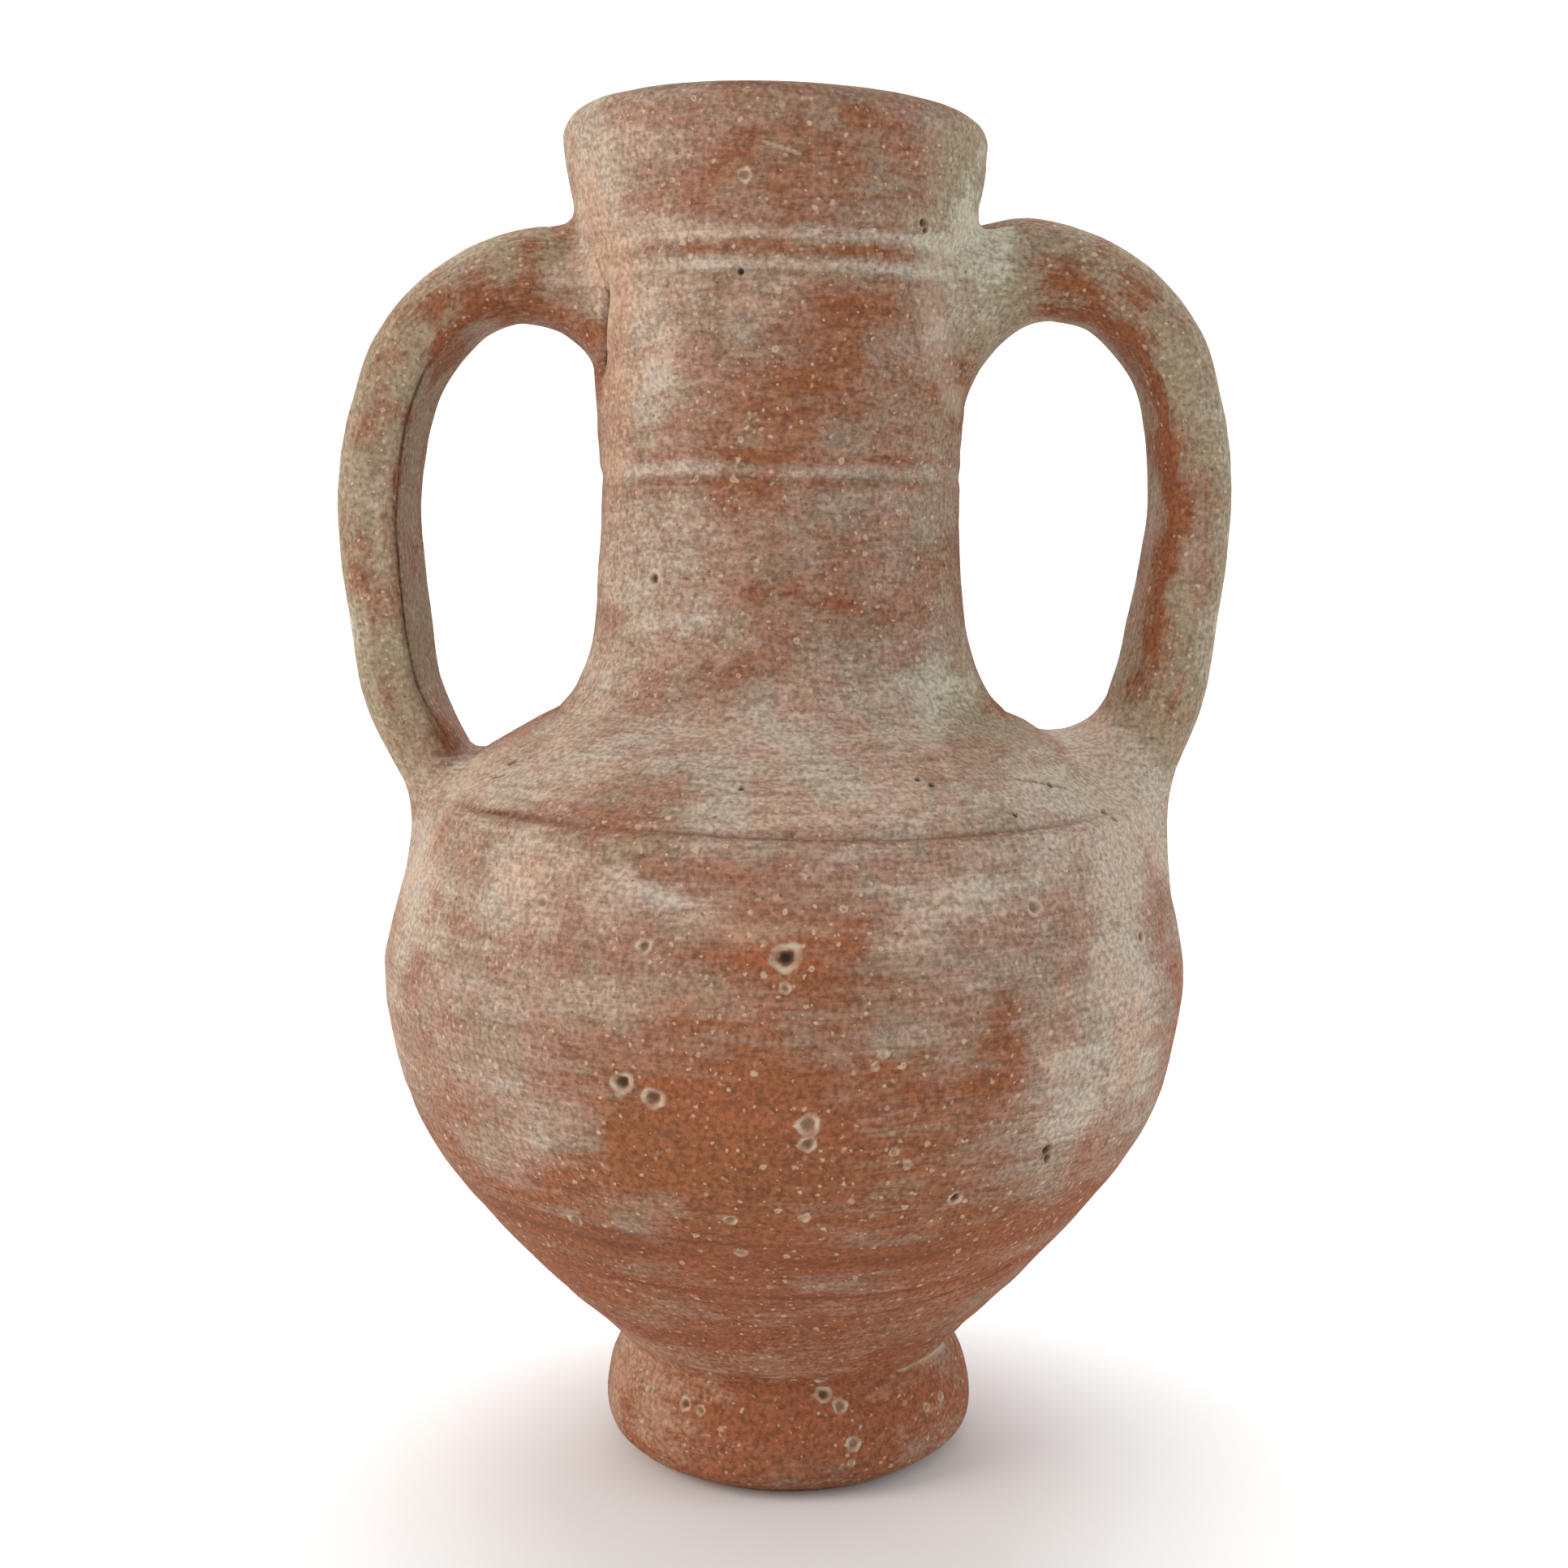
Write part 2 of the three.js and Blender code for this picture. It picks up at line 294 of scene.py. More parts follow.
def back_spalls():
    """More burst lime grains, scattered over the side away from the front."""
    rng = np.random.default_rng(SEED)
    found = []
    for _ in range(BACK_SPALLS):
        angle = 180 + rng.uniform(-82, 82)
        found.append((angle, rng.uniform(*BACK_HEIGHTS), rng.uniform(0.9, 2.4), rng.uniform(0, 0.9)))
    return found


SPALLS = FRONT_SPALLS + back_spalls()


def wall_offset(angle, length, radius, at_angle, at_height):
    """How far wall points are from one place on the wall, round it and up it."""
    return turned_by(angle, math.radians(at_angle)) * radius, length - length_at(at_height)


def spall_ratio(index, angle, length, radius):
    """Distance from a burst grain's middle over its own uneven radius, and the bearing from it."""
    at_angle, at_height, size, _ = SPALLS[index]
    across, up = wall_offset(angle, length, radius, at_angle, at_height)
    rng = np.random.default_rng(SEED + 100 + index)
    spin, squash = rng.uniform(0, math.pi), rng.uniform(0.78, 1.0)
    along_axis = across * math.cos(spin) + up * math.sin(spin)
    over_axis = (up * math.cos(spin) - across * math.sin(spin)) / squash
    bearing = np.arctan2(over_axis, along_axis)
    uneven = 1 + 0.05 * np.sin(3 * bearing + spin) + 0.05 * np.sin(5 * bearing - 2 * spin)
    return np.hypot(along_axis, over_axis) / (size * uneven), bearing


def scratch_distance(angle, length, radius, start, end):
    """How far wall points are from a scratch."""
    across, up = wall_offset(angle, length, radius, *start)
    run_across = math.radians(end[0] - start[0]) * radius
    run_up = length_at(end[1]) - length_at(start[1])
    share = np.clip((across * run_across + up * run_up) / (run_across**2 + run_up**2 + 1e-9), 0, 1)
    return np.hypot(across - share * run_across, up - share * run_up)


def hole_ratio(angle, length, radius, hole):
    """Distance from a straw hole's middle over its radius."""
    at_angle, at_height, size = hole
    return np.hypot(*wall_offset(angle, length, radius, at_angle, at_height)) / size


def level_band(points, length, height, half_height, wander, seed):
    """1 on a level band round the jar, fading away above and below it."""
    centre = length_at(height) + wander * (waves(points * [1, 1, 0], BAND_WANDER_SIZE, seed) - 0.3)
    return bell(length - centre, half_height)


def handle_side(angle):
    """1 straight under a handle, 0 at the front and back."""
    return smoothstep(0.35, 0.85, np.abs(np.sin(angle)) ** 3)


# Dents and swellings of the wall: strength, size and seed.
WALL_LUMPS = [(0.36, 62, 1), (0.15, 19, 2), (0.06, 5.5, 3)]
WHEEL_RIDGE_SIZE = 3.2
WHEEL_TURN, WHEEL_CLIMB = 6, 0.42  # how fast the wheel's ridges vary round the jar and up it
BAND_SEED, SEAM_SEED = 7, 8  # grooves and the stains in them wander together
BAND_WANDER, BAND_WANDER_SIZE = 0.3, 42
EDGE_FADE = 3  # marks fade out this close to the foot's underside and to the lip


def relief(angle, length, radius, height):
    """How far the outside stands proud of its outline, in millimetres."""
    points = around(angle, radius, height)
    flat = np.stack([np.sin(angle) * WHEEL_TURN, np.cos(angle) * WHEEL_TURN, length * WHEEL_CLIMB], axis=1)
    wheel = 0.12 * waves(flat, WHEEL_RIDGE_SIZE, 4) + 0.055 * waves(flat * 2.3, WHEEL_RIDGE_SIZE, 5)
    proud = layered(points, WALL_LUMPS) + wheel * (1 + 0.5 * waves(points, 45, 6))
    for groove_height, half_width, depth, wander in GROOVES:
        inside = level_band(points, length, groove_height, half_width, wander, BAND_SEED)
        proud -= depth * inside * (1 - 0.6 * handle_side(angle))
    for line_height, half_width, depth in SEAM_LINES:
        inside = level_band(points, length, line_height, half_width, BAND_WANDER, SEAM_SEED)
        proud -= depth * inside * (1 - handle_side(angle)) * (1 + 0.35 * waves(points, 14, 9))
    for index, (_, _, size, _) in enumerate(SPALLS):
        ratio, _ = spall_ratio(index, angle, length, radius)
        near = ratio < 2
        rim = SPALL_RIM * bell(ratio[near] - 0.9, 0.22)
        proud[near] += rim - SPALL_DEPTH * size * (1 - smoothstep(0.3, 0.8, ratio[near]))
    for hole in HOLES:
        inside = 1 - smoothstep(0.4, 1.1, hole_ratio(angle, length, radius, hole))
        proud -= HOLE_DEPTH * hole[2] * inside
    for start, end, half_width, depth, _ in SCRATCHES:
        away = scratch_distance(angle, length, radius, start, end)
        proud -= depth * (1 - smoothstep(0, 1.6 * half_width, away))
    for joint in JOINTS:
        away = clay_edge_distance(joint, angle, length, radius)
        cut, ridge = clay_edge_marks(joint, angle, length, away)
        proud += RIDGE_HEIGHT * ridge - CREVICE_DEPTH * cut
    top = outline_length[-1]
    return proud * smoothstep(0, EDGE_FADE, height) * (1 - smoothstep(top - EDGE_FADE, top, length))


# How the finished jar departs from a true turned shape.
LEAN_HEIGHTS = [0, 30, 50, 66, 90, 115, 135, 150, 200, 235, 270, 300]
LEAN = [1.0, 0.5, 0.2, -0.6, -0.2, 0, 0.5, 0.15, -1.0, -0.7, -1.4, -1.7]  # sideways shift of the axis
OVALITY = 0.004
TILT_HEIGHTS = [0, 60, 150, 225, 300]
TILT_DEGREES = [0, 0.3, 0.6, 0.9, 1.35]  # how far a level circle dips to the right


def settle(points):
    """Turned points as they stand on the finished jar, with its lean, tilt and ovality."""
    x, y, z = points[:, 0], points[:, 1], points[:, 2]
    lean = np.interp(z, LEAN_HEIGHTS, LEAN)
    tilt = np.tan(np.radians(np.interp(z, TILT_HEIGHTS, TILT_DEGREES)))
    return np.stack([x * (1 + OVALITY) + lean, y * (1 - OVALITY), z - tilt * x], axis=1)


def wall_surface(angle, length, extra=0.0):
    """Points of the finished outer surface, some way proud of it, with the outward normals."""
    r, z = pick(outline, outline_length, length).T
    nr, nz = pick(outline_normal, outline_length, length).T
    normal = around(angle, nr, nz)
    proud = relief(angle, length, r, z) + extra
    return settle(around(angle, r, z) + normal * proud[:, None]), normal


# ---- where the handles' clay meets the wall

SIDE_SIGN = {"left": -1, "right": 1}
# Each footprint: height of its middle on the wall, reach up, down, to the front and to the back, share of
# the strap where the clay ends on its outer and inner side, how proud its edge stands, how pale its smeared
# front edge is, and how much more bloom lies on it than on the wall round it.
Joint = namedtuple(
    "Joint", "side end height up down front back outer_share inner_share proud edge_bloom more_bloom"
)
JOINTS = [
    Joint("left", "upper", 264, 15, 20, 19, 21, 0.1, 0.17, 0.2, 0, -0.25),
    Joint("left", "lower", 151, 14, 20, 34, 32, 0.9, 0.9, 0.05, 0.3, 0.05),
    Joint("right", "upper", 264, 15, 29, 29, 27, 0.1, 0.165, 0.12, 0.35, 0.35),
    Joint("right", "lower", 151, 25, 25, 34, 32, 0.88, 0.826, 0.05, 0, 0.5),
]
FOOTPRINT_SQUARENESS = 2.3
# An open crevice under the front edge of the left handle's clay.
CREVICE_JOINT = JOINTS[0]
CREVICE_HEIGHTS = (241, 261)
CREVICE_WIDTH = 2.3
CREVICE_DEPTH = 3.4
CREVICE_AWAY = 1.4  # from the footprint's edge to the crevice
RIDGE_AWAY = 5.6  # from the footprint's edge to the ridge of clay pushed up beyond it
RIDGE_WIDTH = 1.3
RIDGE_HEIGHT = 0.8
EDGE_SAMPLES = 150
EDGE_REACH = 6  # how far beyond a footprint its edge distance is worked out
FAR = 99.0


def squared(value, power):
    """One axis of a superellipse, from the cosine or sine of the turn."""
    return np.sign(value) * np.abs(value) ** (2 / power)


def clay_outline(joint, turns):
    """Angle and outline length of points round a footprint, starting from its upper end."""
    cos, sin = np.cos(turns), np.sin(turns)
    wobble = 1 + 0.07 * np.sin(3 * turns + 1.3) + 0.04 * np.sin(7 * turns)
    reach_up = np.where(cos > 0, joint.up, joint.down)
    reach_round = np.where(sin > 0, joint.back, joint.front)
    length = length_at(joint.height) + squared(cos, FOOTPRINT_SQUARENESS) * reach_up * wobble
    radius = np.interp(length, outline_length, outline[:, 0])
    offset = squared(sin, FOOTPRINT_SQUARENESS) * reach_round * wobble / radius
    return SIDE_SIGN[joint.side] * (math.pi / 2 + offset), length


def clay_edge_distance(joint, angle, length, radius):
    """How far outside a footprint's edge wall points are, negative inside it, and large far away."""
    edge_angle, edge_length = clay_outline(joint, np.linspace(0, FULL_TURN, EDGE_SAMPLES, endpoint=False))
    near = (length > edge_length.min() - EDGE_REACH) & (length < edge_length.max() + EDGE_REACH)
    near &= SIDE_SIGN[joint.side] * np.sin(angle) > 0
    angle, length, radius = angle[near], length[near], radius[near]
    gap = np.hypot(turned_by(angle[:, None], edge_angle) * radius[:, None], length[:, None] - edge_length)
    nearest = gap.argmin(axis=1)
    middle_angle, middle_length = edge_angle.mean(), edge_length.mean()
    here = np.hypot((angle - middle_angle) * radius, length - middle_length)
    there = np.hypot((edge_angle[nearest] - middle_angle) * radius, edge_length[nearest] - middle_length)
    away = np.full(len(near), FAR)
    away[near] = gap.min(axis=1) * np.where(here > there, 1, -1)
    return away


def clay_edge_marks(joint, angle, length, away):
    """Strengths of the open crevice and of the ridge beyond it, along a footprint's front edge. The
    crevice's near-black colour is painted shadow, and the ridge's pale colour is partly painted highlight.
    """
    if joint != CREVICE_JOINT:
        return np.zeros((2, len(angle)))
    in_front = smoothstep(0.12, 0.4, np.cos(angle))
    low, high = (length_at(height) for height in CREVICE_HEIGHTS)
    cut = between(low - 2, low + 2, high - 3, high + 3, length) * bell(away - CREVICE_AWAY, CREVICE_WIDTH)
    ridge = between(low + 4, low + 10, high + 2, high + 6, length) * bell(away - RIDGE_AWAY, RIDGE_WIDTH)
    return in_front * cut, in_front * ridge


# ---- colour marks, kept on the vertices

# Soft patches: angle, height, half width round the jar, half height, strength. Positive adds bloom; negative
# takes it away and darkens the clay, and some negative patches are painted shade.
FRONT_PATCHES = [
    (20, 141, 16, 9, 0.5), (31, 121, 22, 13, 0.25), (42, 100, 13, 13, 0.5), (62, 120, 12, 30, 0.35),
    (-20, 143, 34, 3, 0.3), (-29, 121, 14, 6, 0.2), (-50, 125, 24, 26, 0.25), (-25, 84, 14, 6, 0.2),
    (0, 160, 90, 7, 0.3), (48, 178, 12, 9, 0.35), (-27, 193, 14, 2.5, 0.35), (-2, 196, 14, 2, 0.25),
    (-48, 203, 12, 3, 0.3), (-9, 252, 8, 4, 0.2), (0, 256, 7, 4, 0.25), (54, 118, 9, 24, 0.45),
    (80, 262, 14, 17, 0.3), (4, 86, 30, 8, -0.15), (0, 78, 200, 7, -0.12), (66, 273, 13, 9, 0.9),
    (60, 286, 18, 12, 0.35), (-58, 284, 20, 18, 0.4), (-52, 262, 13, 12, 0.2), (52, 119, 7, 12, 0.25),
    (-72, 118, 12, 26, 0.2), (-17, 108, 22, 13, -0.3), (12, 108, 10, 7, -0.35), (0, 203, 10, 16, -0.3),
    # The patches at (20, 292) and (14, 296) darken the rim's top edge, partly as painted shade.
    (-50, 235, 16, 22, 0.55), (-45, 275, 16, 10, 0.4), (20, 292, 18, 8, -0.35), (38, 177, 22, 8, 0.35),
    (40, 189, 12, 8, 0.2), (64, 148, 12, 13, 0.6), (-36, 142, 14, 9, 0.36), (-66, 140, 14, 20, 0.3),
    (-32, 133, 12, 6, 0.35), (-26, 244, 8, 8, 0.35), (56, 150, 10, 12, 0.4), (14, 296, 7, 5, -0.5),
    (-60, 22, 14, 12, 0.5), (0, 151, 60, 3, -0.08), (-34, 167, 22, 8, 0.35), (13, 119, 8, 5, 0.3),
    (-46, 79, 14, 7, 0.4), (-12, 92, 14, 8, -0.3), (0, 108, 8, 6, -0.2), (50, 68, 14, 5, -0.3),
    # The patch at (75, 244) is painted shade under the right handle's upper clay.
    (75, 244, 16, 12, -0.8), (-14, 92, 10, 8, -0.2), (3, 116, 9, 7, -0.3), (-14, 145, 16, 5, 0.15),
    (-66, 128, 8, 12, 0.4), (71, 118, 12, 18, -0.35), (58, 142, 8, 14, 0.3), (28, 175, 16, 6, 0.3),
    (68, 278, 8, 8, 0.6), (2, 132, 13, 9, -0.45), (4, 140, 10, 7, -0.5), (-9, 137, 9, 7, -0.2),
    (-9, 106, 14, 9, -0.4), (5, 97, 28, 13, -0.5), (27, 111, 7, 6, -0.5), (-12, 147, 16, 2.5, -0.35),
    # The level bands all round the jar at heights 78, 72, 45 and 12 darken the lower belly and foot: partly
    # the clay's own colour, partly painted shade.
    (0, 72, 200, 14, -0.3), (0, 45, 200, 16, -0.4), (0, 12, 200, 16, -0.32), (17, 245, 13, 18, -0.4),
    (22, 232, 14, 5, -0.1), (40, 250, 8, 10, 0.2), (0, 181, 24, 5, -0.25), (45, 150, 9, 9, 0.35),
    (45, 142, 8, 8, 0.3), (65, 272, 9, 9, 0.8), (69, 181, 10, 9, 0.6), (-66, 181, 12, 8, 0.4),
    # The patches at (-68, 252), (80, 172) and (-80, 168) are painted shade by the handles' clay.
    (-66, 7, 10, 9, 0.5), (-68, 252, 8, 8, -0.5), (80, 172, 12, 6, -0.5), (-80, 168, 12, 6, -0.5),
    (-74, 235, 12, 30, 0.3), (-79, 132, 9, 22, 0.35), (2, 166, 14, 5, 0.12), (20, 205, 9, 6, 0.2),
    (14, 181, 10, 4, 0.1), (-45, 190, 14, 16, 0.2), (-31, 243, 8, 6, 0.3), (-32, 276, 7, 7, 0.2),
    (-54, 100, 10, 8, 0.1), (-40, 86, 12, 8, 0.25), (-41, 143, 9, 7, 0.25), (-11, 144, 7, 5, 0.3),
    (-60, 131, 9, 9, 0.35), (-72, 278, 8, 18, 0.5), (74, 150, 8, 10, 0.3), (-78, 250, 10, 8, -0.5),
    (-11, 96, 13, 8, -0.55), (-12, 282, 22, 8, -0.2), (10, 280, 18, 7, -0.25), (0, 172, 60, 2, 0.2),
    (-46, 176, 14, 9, 0.15),
]
BACK_PATCHES = 34
# Bands of bare, dark-fired clay left by the wheel: height, half height, strength.
DARK_BANDS = [
    (WAIST_Z + 42, 3.4, 1.1), (WAIST_Z + 31.5, 1.6, 0.75), (WAIST_Z - 7, 2.6, 0.5),
    (COLLAR_Z - 3.3, 1.4, 0.22), (NECK_BASE_Z + 49.6, 1.3, 0.35), (NECK_BASE_Z + 55.2, 1.2, 0.35),
    (RIDGE_Z + 1.2, 1.4, 0.2),
]
# Bands where pale scum gathered: height, half height, strength.
PALE_BANDS = [
    (COLLAR_Z - 0.2, 1.5, 0.62), (COLLAR_Z - 6.4, 1.3, 0.62), (NECK_BASE_Z + 52.4, 1.5, 0.42),
    (NECK_BASE_Z - 0.8, 1.6, 0.3), (RIDGE_Z + 5.5, 1.5, 0.15), (RIDGE_Z - 8, 1.6, 0.15),
]
# Thin soiled lines: height, half height, strength.
SOILED_LINES = [
    (RIDGE_Z + 1.9, 0.65, 0.85), (NECK_BASE_Z + 50.6, 0.4, 0.4), (WAIST_Z + 45.8, 0.7, 0.7),
    (WAIST_Z + 41.4, 2.4, 0.75), (WAIST_Z + 37, 0.5, 0.5), (WAIST_Z + 34.5, 0.4, 0.5),
    (WAIST_Z + 31, 0.6, 0.9), (WAIST_Z + 28, 0.35, 0.4), (COLLAR_Z - 8, 0.35, 0.2),
    (LIP_Z - 1.0, 1.6, 0.72),
]
# Patches of clay fired orange-red, or less so: angle, height, half width, half height, strength.
ORANGE_PATCHES = [
    (4, 140, 12, 8, 0.9), (-8, 135, 12, 9, 0.5), (-10, 120, 14, 8, 0.5), (-24, 119, 14, 8, 0.3),
    (-64, 262, 14, 36, 0.75), (-64, 210, 10, 30, 0.5), (-36, 142, 14, 9, 0.3), (0, 225, 20, 22, -0.25),
    (6, 248, 20, 16, -0.3), (10, 284, 30, 12, -0.3), (-30, 92, 14, 8, -0.3), (-60, 24, 20, 20, 0.4),
    (0, 26, 60, 10, 0.4), (6, 116, 14, 9, 0.4), (-66, 120, 12, 40, 0.3), (-8, 104, 14, 8, 0.7),
    (6, 96, 26, 9, 0.6), (28, 111, 7, 6, 0.3), (71, 118, 12, 18, 0.8), (-11, 96, 16, 8, -0.5),
    (-30, 90, 16, 9, -0.3), (0, 143, 14, 7, 0.6), (-22, 124, 18, 8, 0.4), (0, 122, 14, 8, 0.4),
    (-52, 125, 12, 34, 0.35), (-50, 265, 10, 34, 0.35), (-50, 225, 8, 24, 0.3), (-25, 32, 30, 14, 0.6),
    (5, 32, 20, 8, 0.4), (65, 258, 10, 20, -0.3), (0, 68, 200, 12, 0.5), (0, 48, 200, 14, 0.65),
    (0, 12, 200, 16, 0.8), (25, 60, 40, 12, 0.3), (-20, 106, 20, 14, 0.5), (12, 108, 12, 8, 0.4),
]
# Greenish patches of overfired or lichened clay, given the same way.
OLIVE_PATCHES = [
    (60, 282, 19, 17, 1.0), (82, 262, 14, 18, 0.6), (48, 170, 30, 16, 0.45), (52, 210, 16, 36, 0.35),
    (72, 170, 14, 14, 0.4), (20, 284, 20, 12, 0.3), (50, 178, 10, 7, 0.4), (-6, 253, 7, 4, 0.6),
    (8, 292, 6, 4, 0.5), (-8, 281, 4, 3, 0.5), (2, 144, 10, 3, 0.5), (-60, 118, 12, 30, 0.2),
    (64, 130, 18, 40, 0.35), (62, 225, 14, 34, 0.35), (72, 272, 12, 10, 0.4), (68, 250, 10, 20, 0.4),
]
INNER_STAIN = (0.35, 0.3, 0)
INNER_SPOTS = (0, 0, 0.3)


def patch_field(points, patches):
    """The sum of soft patches placed by angle and height."""
    angle = np.arctan2(points[:, 0], -points[:, 1])
    radius = np.hypot(points[:, 0], points[:, 1])
    total = np.zeros(len(points))
    for at_angle, at_height, half_width, half_height, strength in patches:
        across = turned_by(angle, math.radians(at_angle)) * radius
        total += strength * bell(across, half_width) * bell(points[:, 2] - at_height, half_height)
    return total


def back_patches():
    """Patches of bloom and bare clay scattered over the side away from the front."""
    rng = np.random.default_rng(SEED + 1)
    found = []
    for _ in range(BACK_PATCHES):
        angle = 180 + rng.uniform(-85, 85)
        size = rng.uniform(6, 20)
        found.append((angle, rng.uniform(30, 290), size * 1.5, size * 0.7, rng.uniform(-0.5, 0.5)))
    return found


BLOOM_AND_SHADE_PATCHES = FRONT_PATCHES + back_patches()


def band_field(points, length, bands, seed):
    """The sum of level bands, broken up and wandering a little round the jar."""
    broken = np.clip(0.85 + 0.4 * waves(points, 16, seed), 0.1, 1.5)
    total = np.zeros(len(points))
    for height, half_height, strength in bands:
        total += strength * level_band(points, length, height, half_height, BAND_WANDER, BAND_SEED)
    return total * broken


def shift_field(points, size, first_seed):
    """Three wave fields side by side, as a shift of the points."""
    return np.stack([waves(points, size, first_seed + i) for i in range(3)], axis=1)


def warped(points):
    """Points shifted about, so that soft patches get ragged edges."""
    shift = 3.0 * shift_field(points, 34, 26) + 3.6 * shift_field(points, 14, 20)
    return points + shift + 1.3 * shift_field(points, 4.5, 23)


def wall_stains(points, length, angle):
    """Bloom, orange and olive strengths for points of the finished outer wall; some negative bloom patches
    in it are painted shade.
    """
    ragged = warped(points)
    open_wall = 1 - 0.8 * handle_side(angle)
    pale = band_field(points, length, PALE_BANDS, 32) * open_wall
    dark = band_field(points, length, DARK_BANDS, 33) * open_wall
    bloom = 0.5 + 0.1 * waves(points, 30, 30) + 0.08 * waves(points * [0.5, 0.5, 2.2], 14, 31)
    bloom += patch_field(ragged, BLOOM_AND_SHADE_PATCHES) + pale - dark
    orange = patch_field(ragged, ORANGE_PATCHES) + 0.35 * dark + 0.12 * waves(points, 24, 36)
    olive = patch_field(ragged, OLIVE_PATCHES) + 0.1 * waves(points, 21, 37)
    return np.stack([bloom, orange, olive], axis=1)


def wall_spots(points, length, angle, radius):
    """Lime, dark pit and dirt strengths for points of the outer wall, with painted shadow in the crevice
    by the left handle's clay and a partly painted highlight on the ridge beyond it.
    """
    lime, pit = np.zeros((2, len(angle)))
    dirt = band_field(points, length, SOILED_LINES, 34) * (1 - handle_side(angle))
    for index, (_, _, size, darkness) in enumerate(SPALLS):
        ratio, bearing = spall_ratio(index, angle, length, radius)
        ring = between(0.46, 0.6, 0.88, 1.08, ratio)
        lime = np.maximum(lime, ring * (0.66 + 0.3 * np.sin(2 * bearing + index)))
        lime = np.maximum(lime, 0.5 * (1 - darkness) * (1 - smoothstep(0.5, 0.9, ratio)))
        pit = np.maximum(pit, darkness * (1 - smoothstep(0.22, 0.52, ratio)))
        dirt = np.maximum(dirt, 0.5 * (1 - smoothstep(0.45, 0.65, ratio)) * (size > 1.5))
    for hole in HOLES:
        inside = 1 - smoothstep(0.5, 1.1, hole_ratio(angle, length, radius, hole))
        pit = np.maximum(pit, 0.9 * inside)
    for start, end, half_width, _, tone in SCRATCHES:
        away = scratch_distance(angle, length, radius, start, end)
        line = 1 - smoothstep(0.5 * half_width, 1.5 * half_width, away)
        if tone == "pale":
            lime = np.maximum(lime, 0.7 * line)
        else:
            dirt = np.maximum(dirt, 0.8 * line)
    for joint in JOINTS:
        away = clay_edge_distance(joint, angle, length, radius)
        cut, ridge = clay_edge_marks(joint, angle, length, away)
        edge = bell(away - 0.5, 2.2) * smoothstep(0.05, 0.3, np.cos(angle))
        # The crevice under the left handle's clay is painted near-black: painted shadow.
        pit = np.maximum(pit, 0.9 * smoothstep(0.3, 0.75, cut))
        # The ridge beyond the crevice is painted pale, partly as painted highlight.
        lime = np.maximum(lime, 0.45 * ridge)
        lime = np.maximum(lime, joint.edge_bloom * edge * (1 - cut))
    return np.stack([lime, pit, dirt], axis=1)


# ---- mesh building

def store(mesh, **layers):
    """Keep vectors per vertex on a mesh, for its material to read."""
    for name, values in layers.items():
        layer = mesh.attributes.new(name, "FLOAT_VECTOR", "POINT")
        layer.data.foreach_set("vector", np.asarray(values, np.float32).ravel())


def finish_piece(mesh, node, material):
    """Turn a mesh into the piece of the jar that stands for one CAD node."""
    mesh.materials.append(material)
    mesh.polygons.foreach_set("use_smooth", np.ones(len(mesh.polygons), bool))
    mesh.set_sharp_from_angle(angle=SHARP_ANGLE)
    piece = bpy.data.objects.new(node + "_fired", mesh)
    bpy.context.scene.collection.objects.link(piece)
    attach(piece, "root")
    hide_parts(node)


INNER_FADE = 4  # the inside's ripple fades out this close to the ends of a section
AXIS_FADE = (6, 16)  # and between these radii, towards the axis
STREAK_RADIUS, STREAK_CLIMB = 0.65, 0.06  # of the coordinates for streaks: long round the jar, short up it


class Section:
    """A section of wall to be turned round the axis: up the outside first, then back along hidden rows."""

    def __init__(self, node, *after, before=()):
        line = OUTLINES[node]
        self.node = node
        self.poles = len(before) > 0
        self.rows = np.vstack([np.reshape(before, (-1, 2)), line, *after])
        self.place = along(self.rows)
        self.low, self.high = self.place[len(before)], self.place[len(before) + len(line) - 1]
        self.shift = length_at(line[0][1]) - self.low

    def shape(self, angle, place):
        """Finished points at angles round the jar and places round the section, with what they lie on."""
        r, z = pick(self.rows, self.place, place).T
        outside = (place > self.low - ROUNDING) & (place < self.high + ROUNDING)
        length = place + self.shift
        nr, nz = pick(outline_normal, outline_length, length).T
        proud = np.zeros(len(angle))
        proud[outside] = relief(angle[outside], length[outside], r[outside], z[outside])
        points = around(angle, r, z) + around(angle, nr, nz) * proud[:, None]
        flat = np.stack([np.sin(angle), np.cos(angle), z * 0.5], axis=1)
        ripple = 0.3 * waves(flat * 2.4, 7.0, 12) + 0.3 * waves(points, 40, 11)
        low, high = self.rows[:, 1].min(), self.rows[:, 1].max()
        free = between(low, low + INNER_FADE, high - INNER_FADE, high, z) * smoothstep(*AXIS_FADE, r)
        points += around(angle, 1.0, 0 * z) * (np.where(outside, 0, ripple) * free)[:, None]
        return settle(points), outside, length, np.maximum(r, 1)


def turned_mesh(section):
    """The flat grid of a section, by angle and place, with small faces where the wall is marked."""
    rows = len(section.rows)
    angles = FULL_TURN * (np.arange(COLUMNS) + 0.5) / COLUMNS - math.pi
    ring_rows = range(1, rows - 1) if section.poles else range(rows)
    bm = bmesh.new()
    grid = [[bm.verts.new((a, section.place[row], 0)) for a in angles] for row in ring_rows]
    pairs = list(zip(grid, grid[1:]))
    if section.poles:
        first_pole = bm.verts.new((0, section.place[0], 1))
        last_pole = bm.verts.new((0, section.place[-1], 1))
    else:
        pairs.append((grid[-1], grid[0]))
    for i in range(COLUMNS):
        j = (i + 1) % COLUMNS
        for lower, upper in pairs:
            bm.faces.new((lower[i], lower[j], upper[j], upper[i]))
        if section.poles:
            bm.faces.new((grid[0][j], grid[0][i], first_pole))
            bm.faces.new((grid[-1][i], grid[-1][j], last_pole))
    refine(bm, section)
    mesh = bpy.data.meshes.new("wall")
    bm.to_mesh(mesh)
    bm.free()
    return mesh


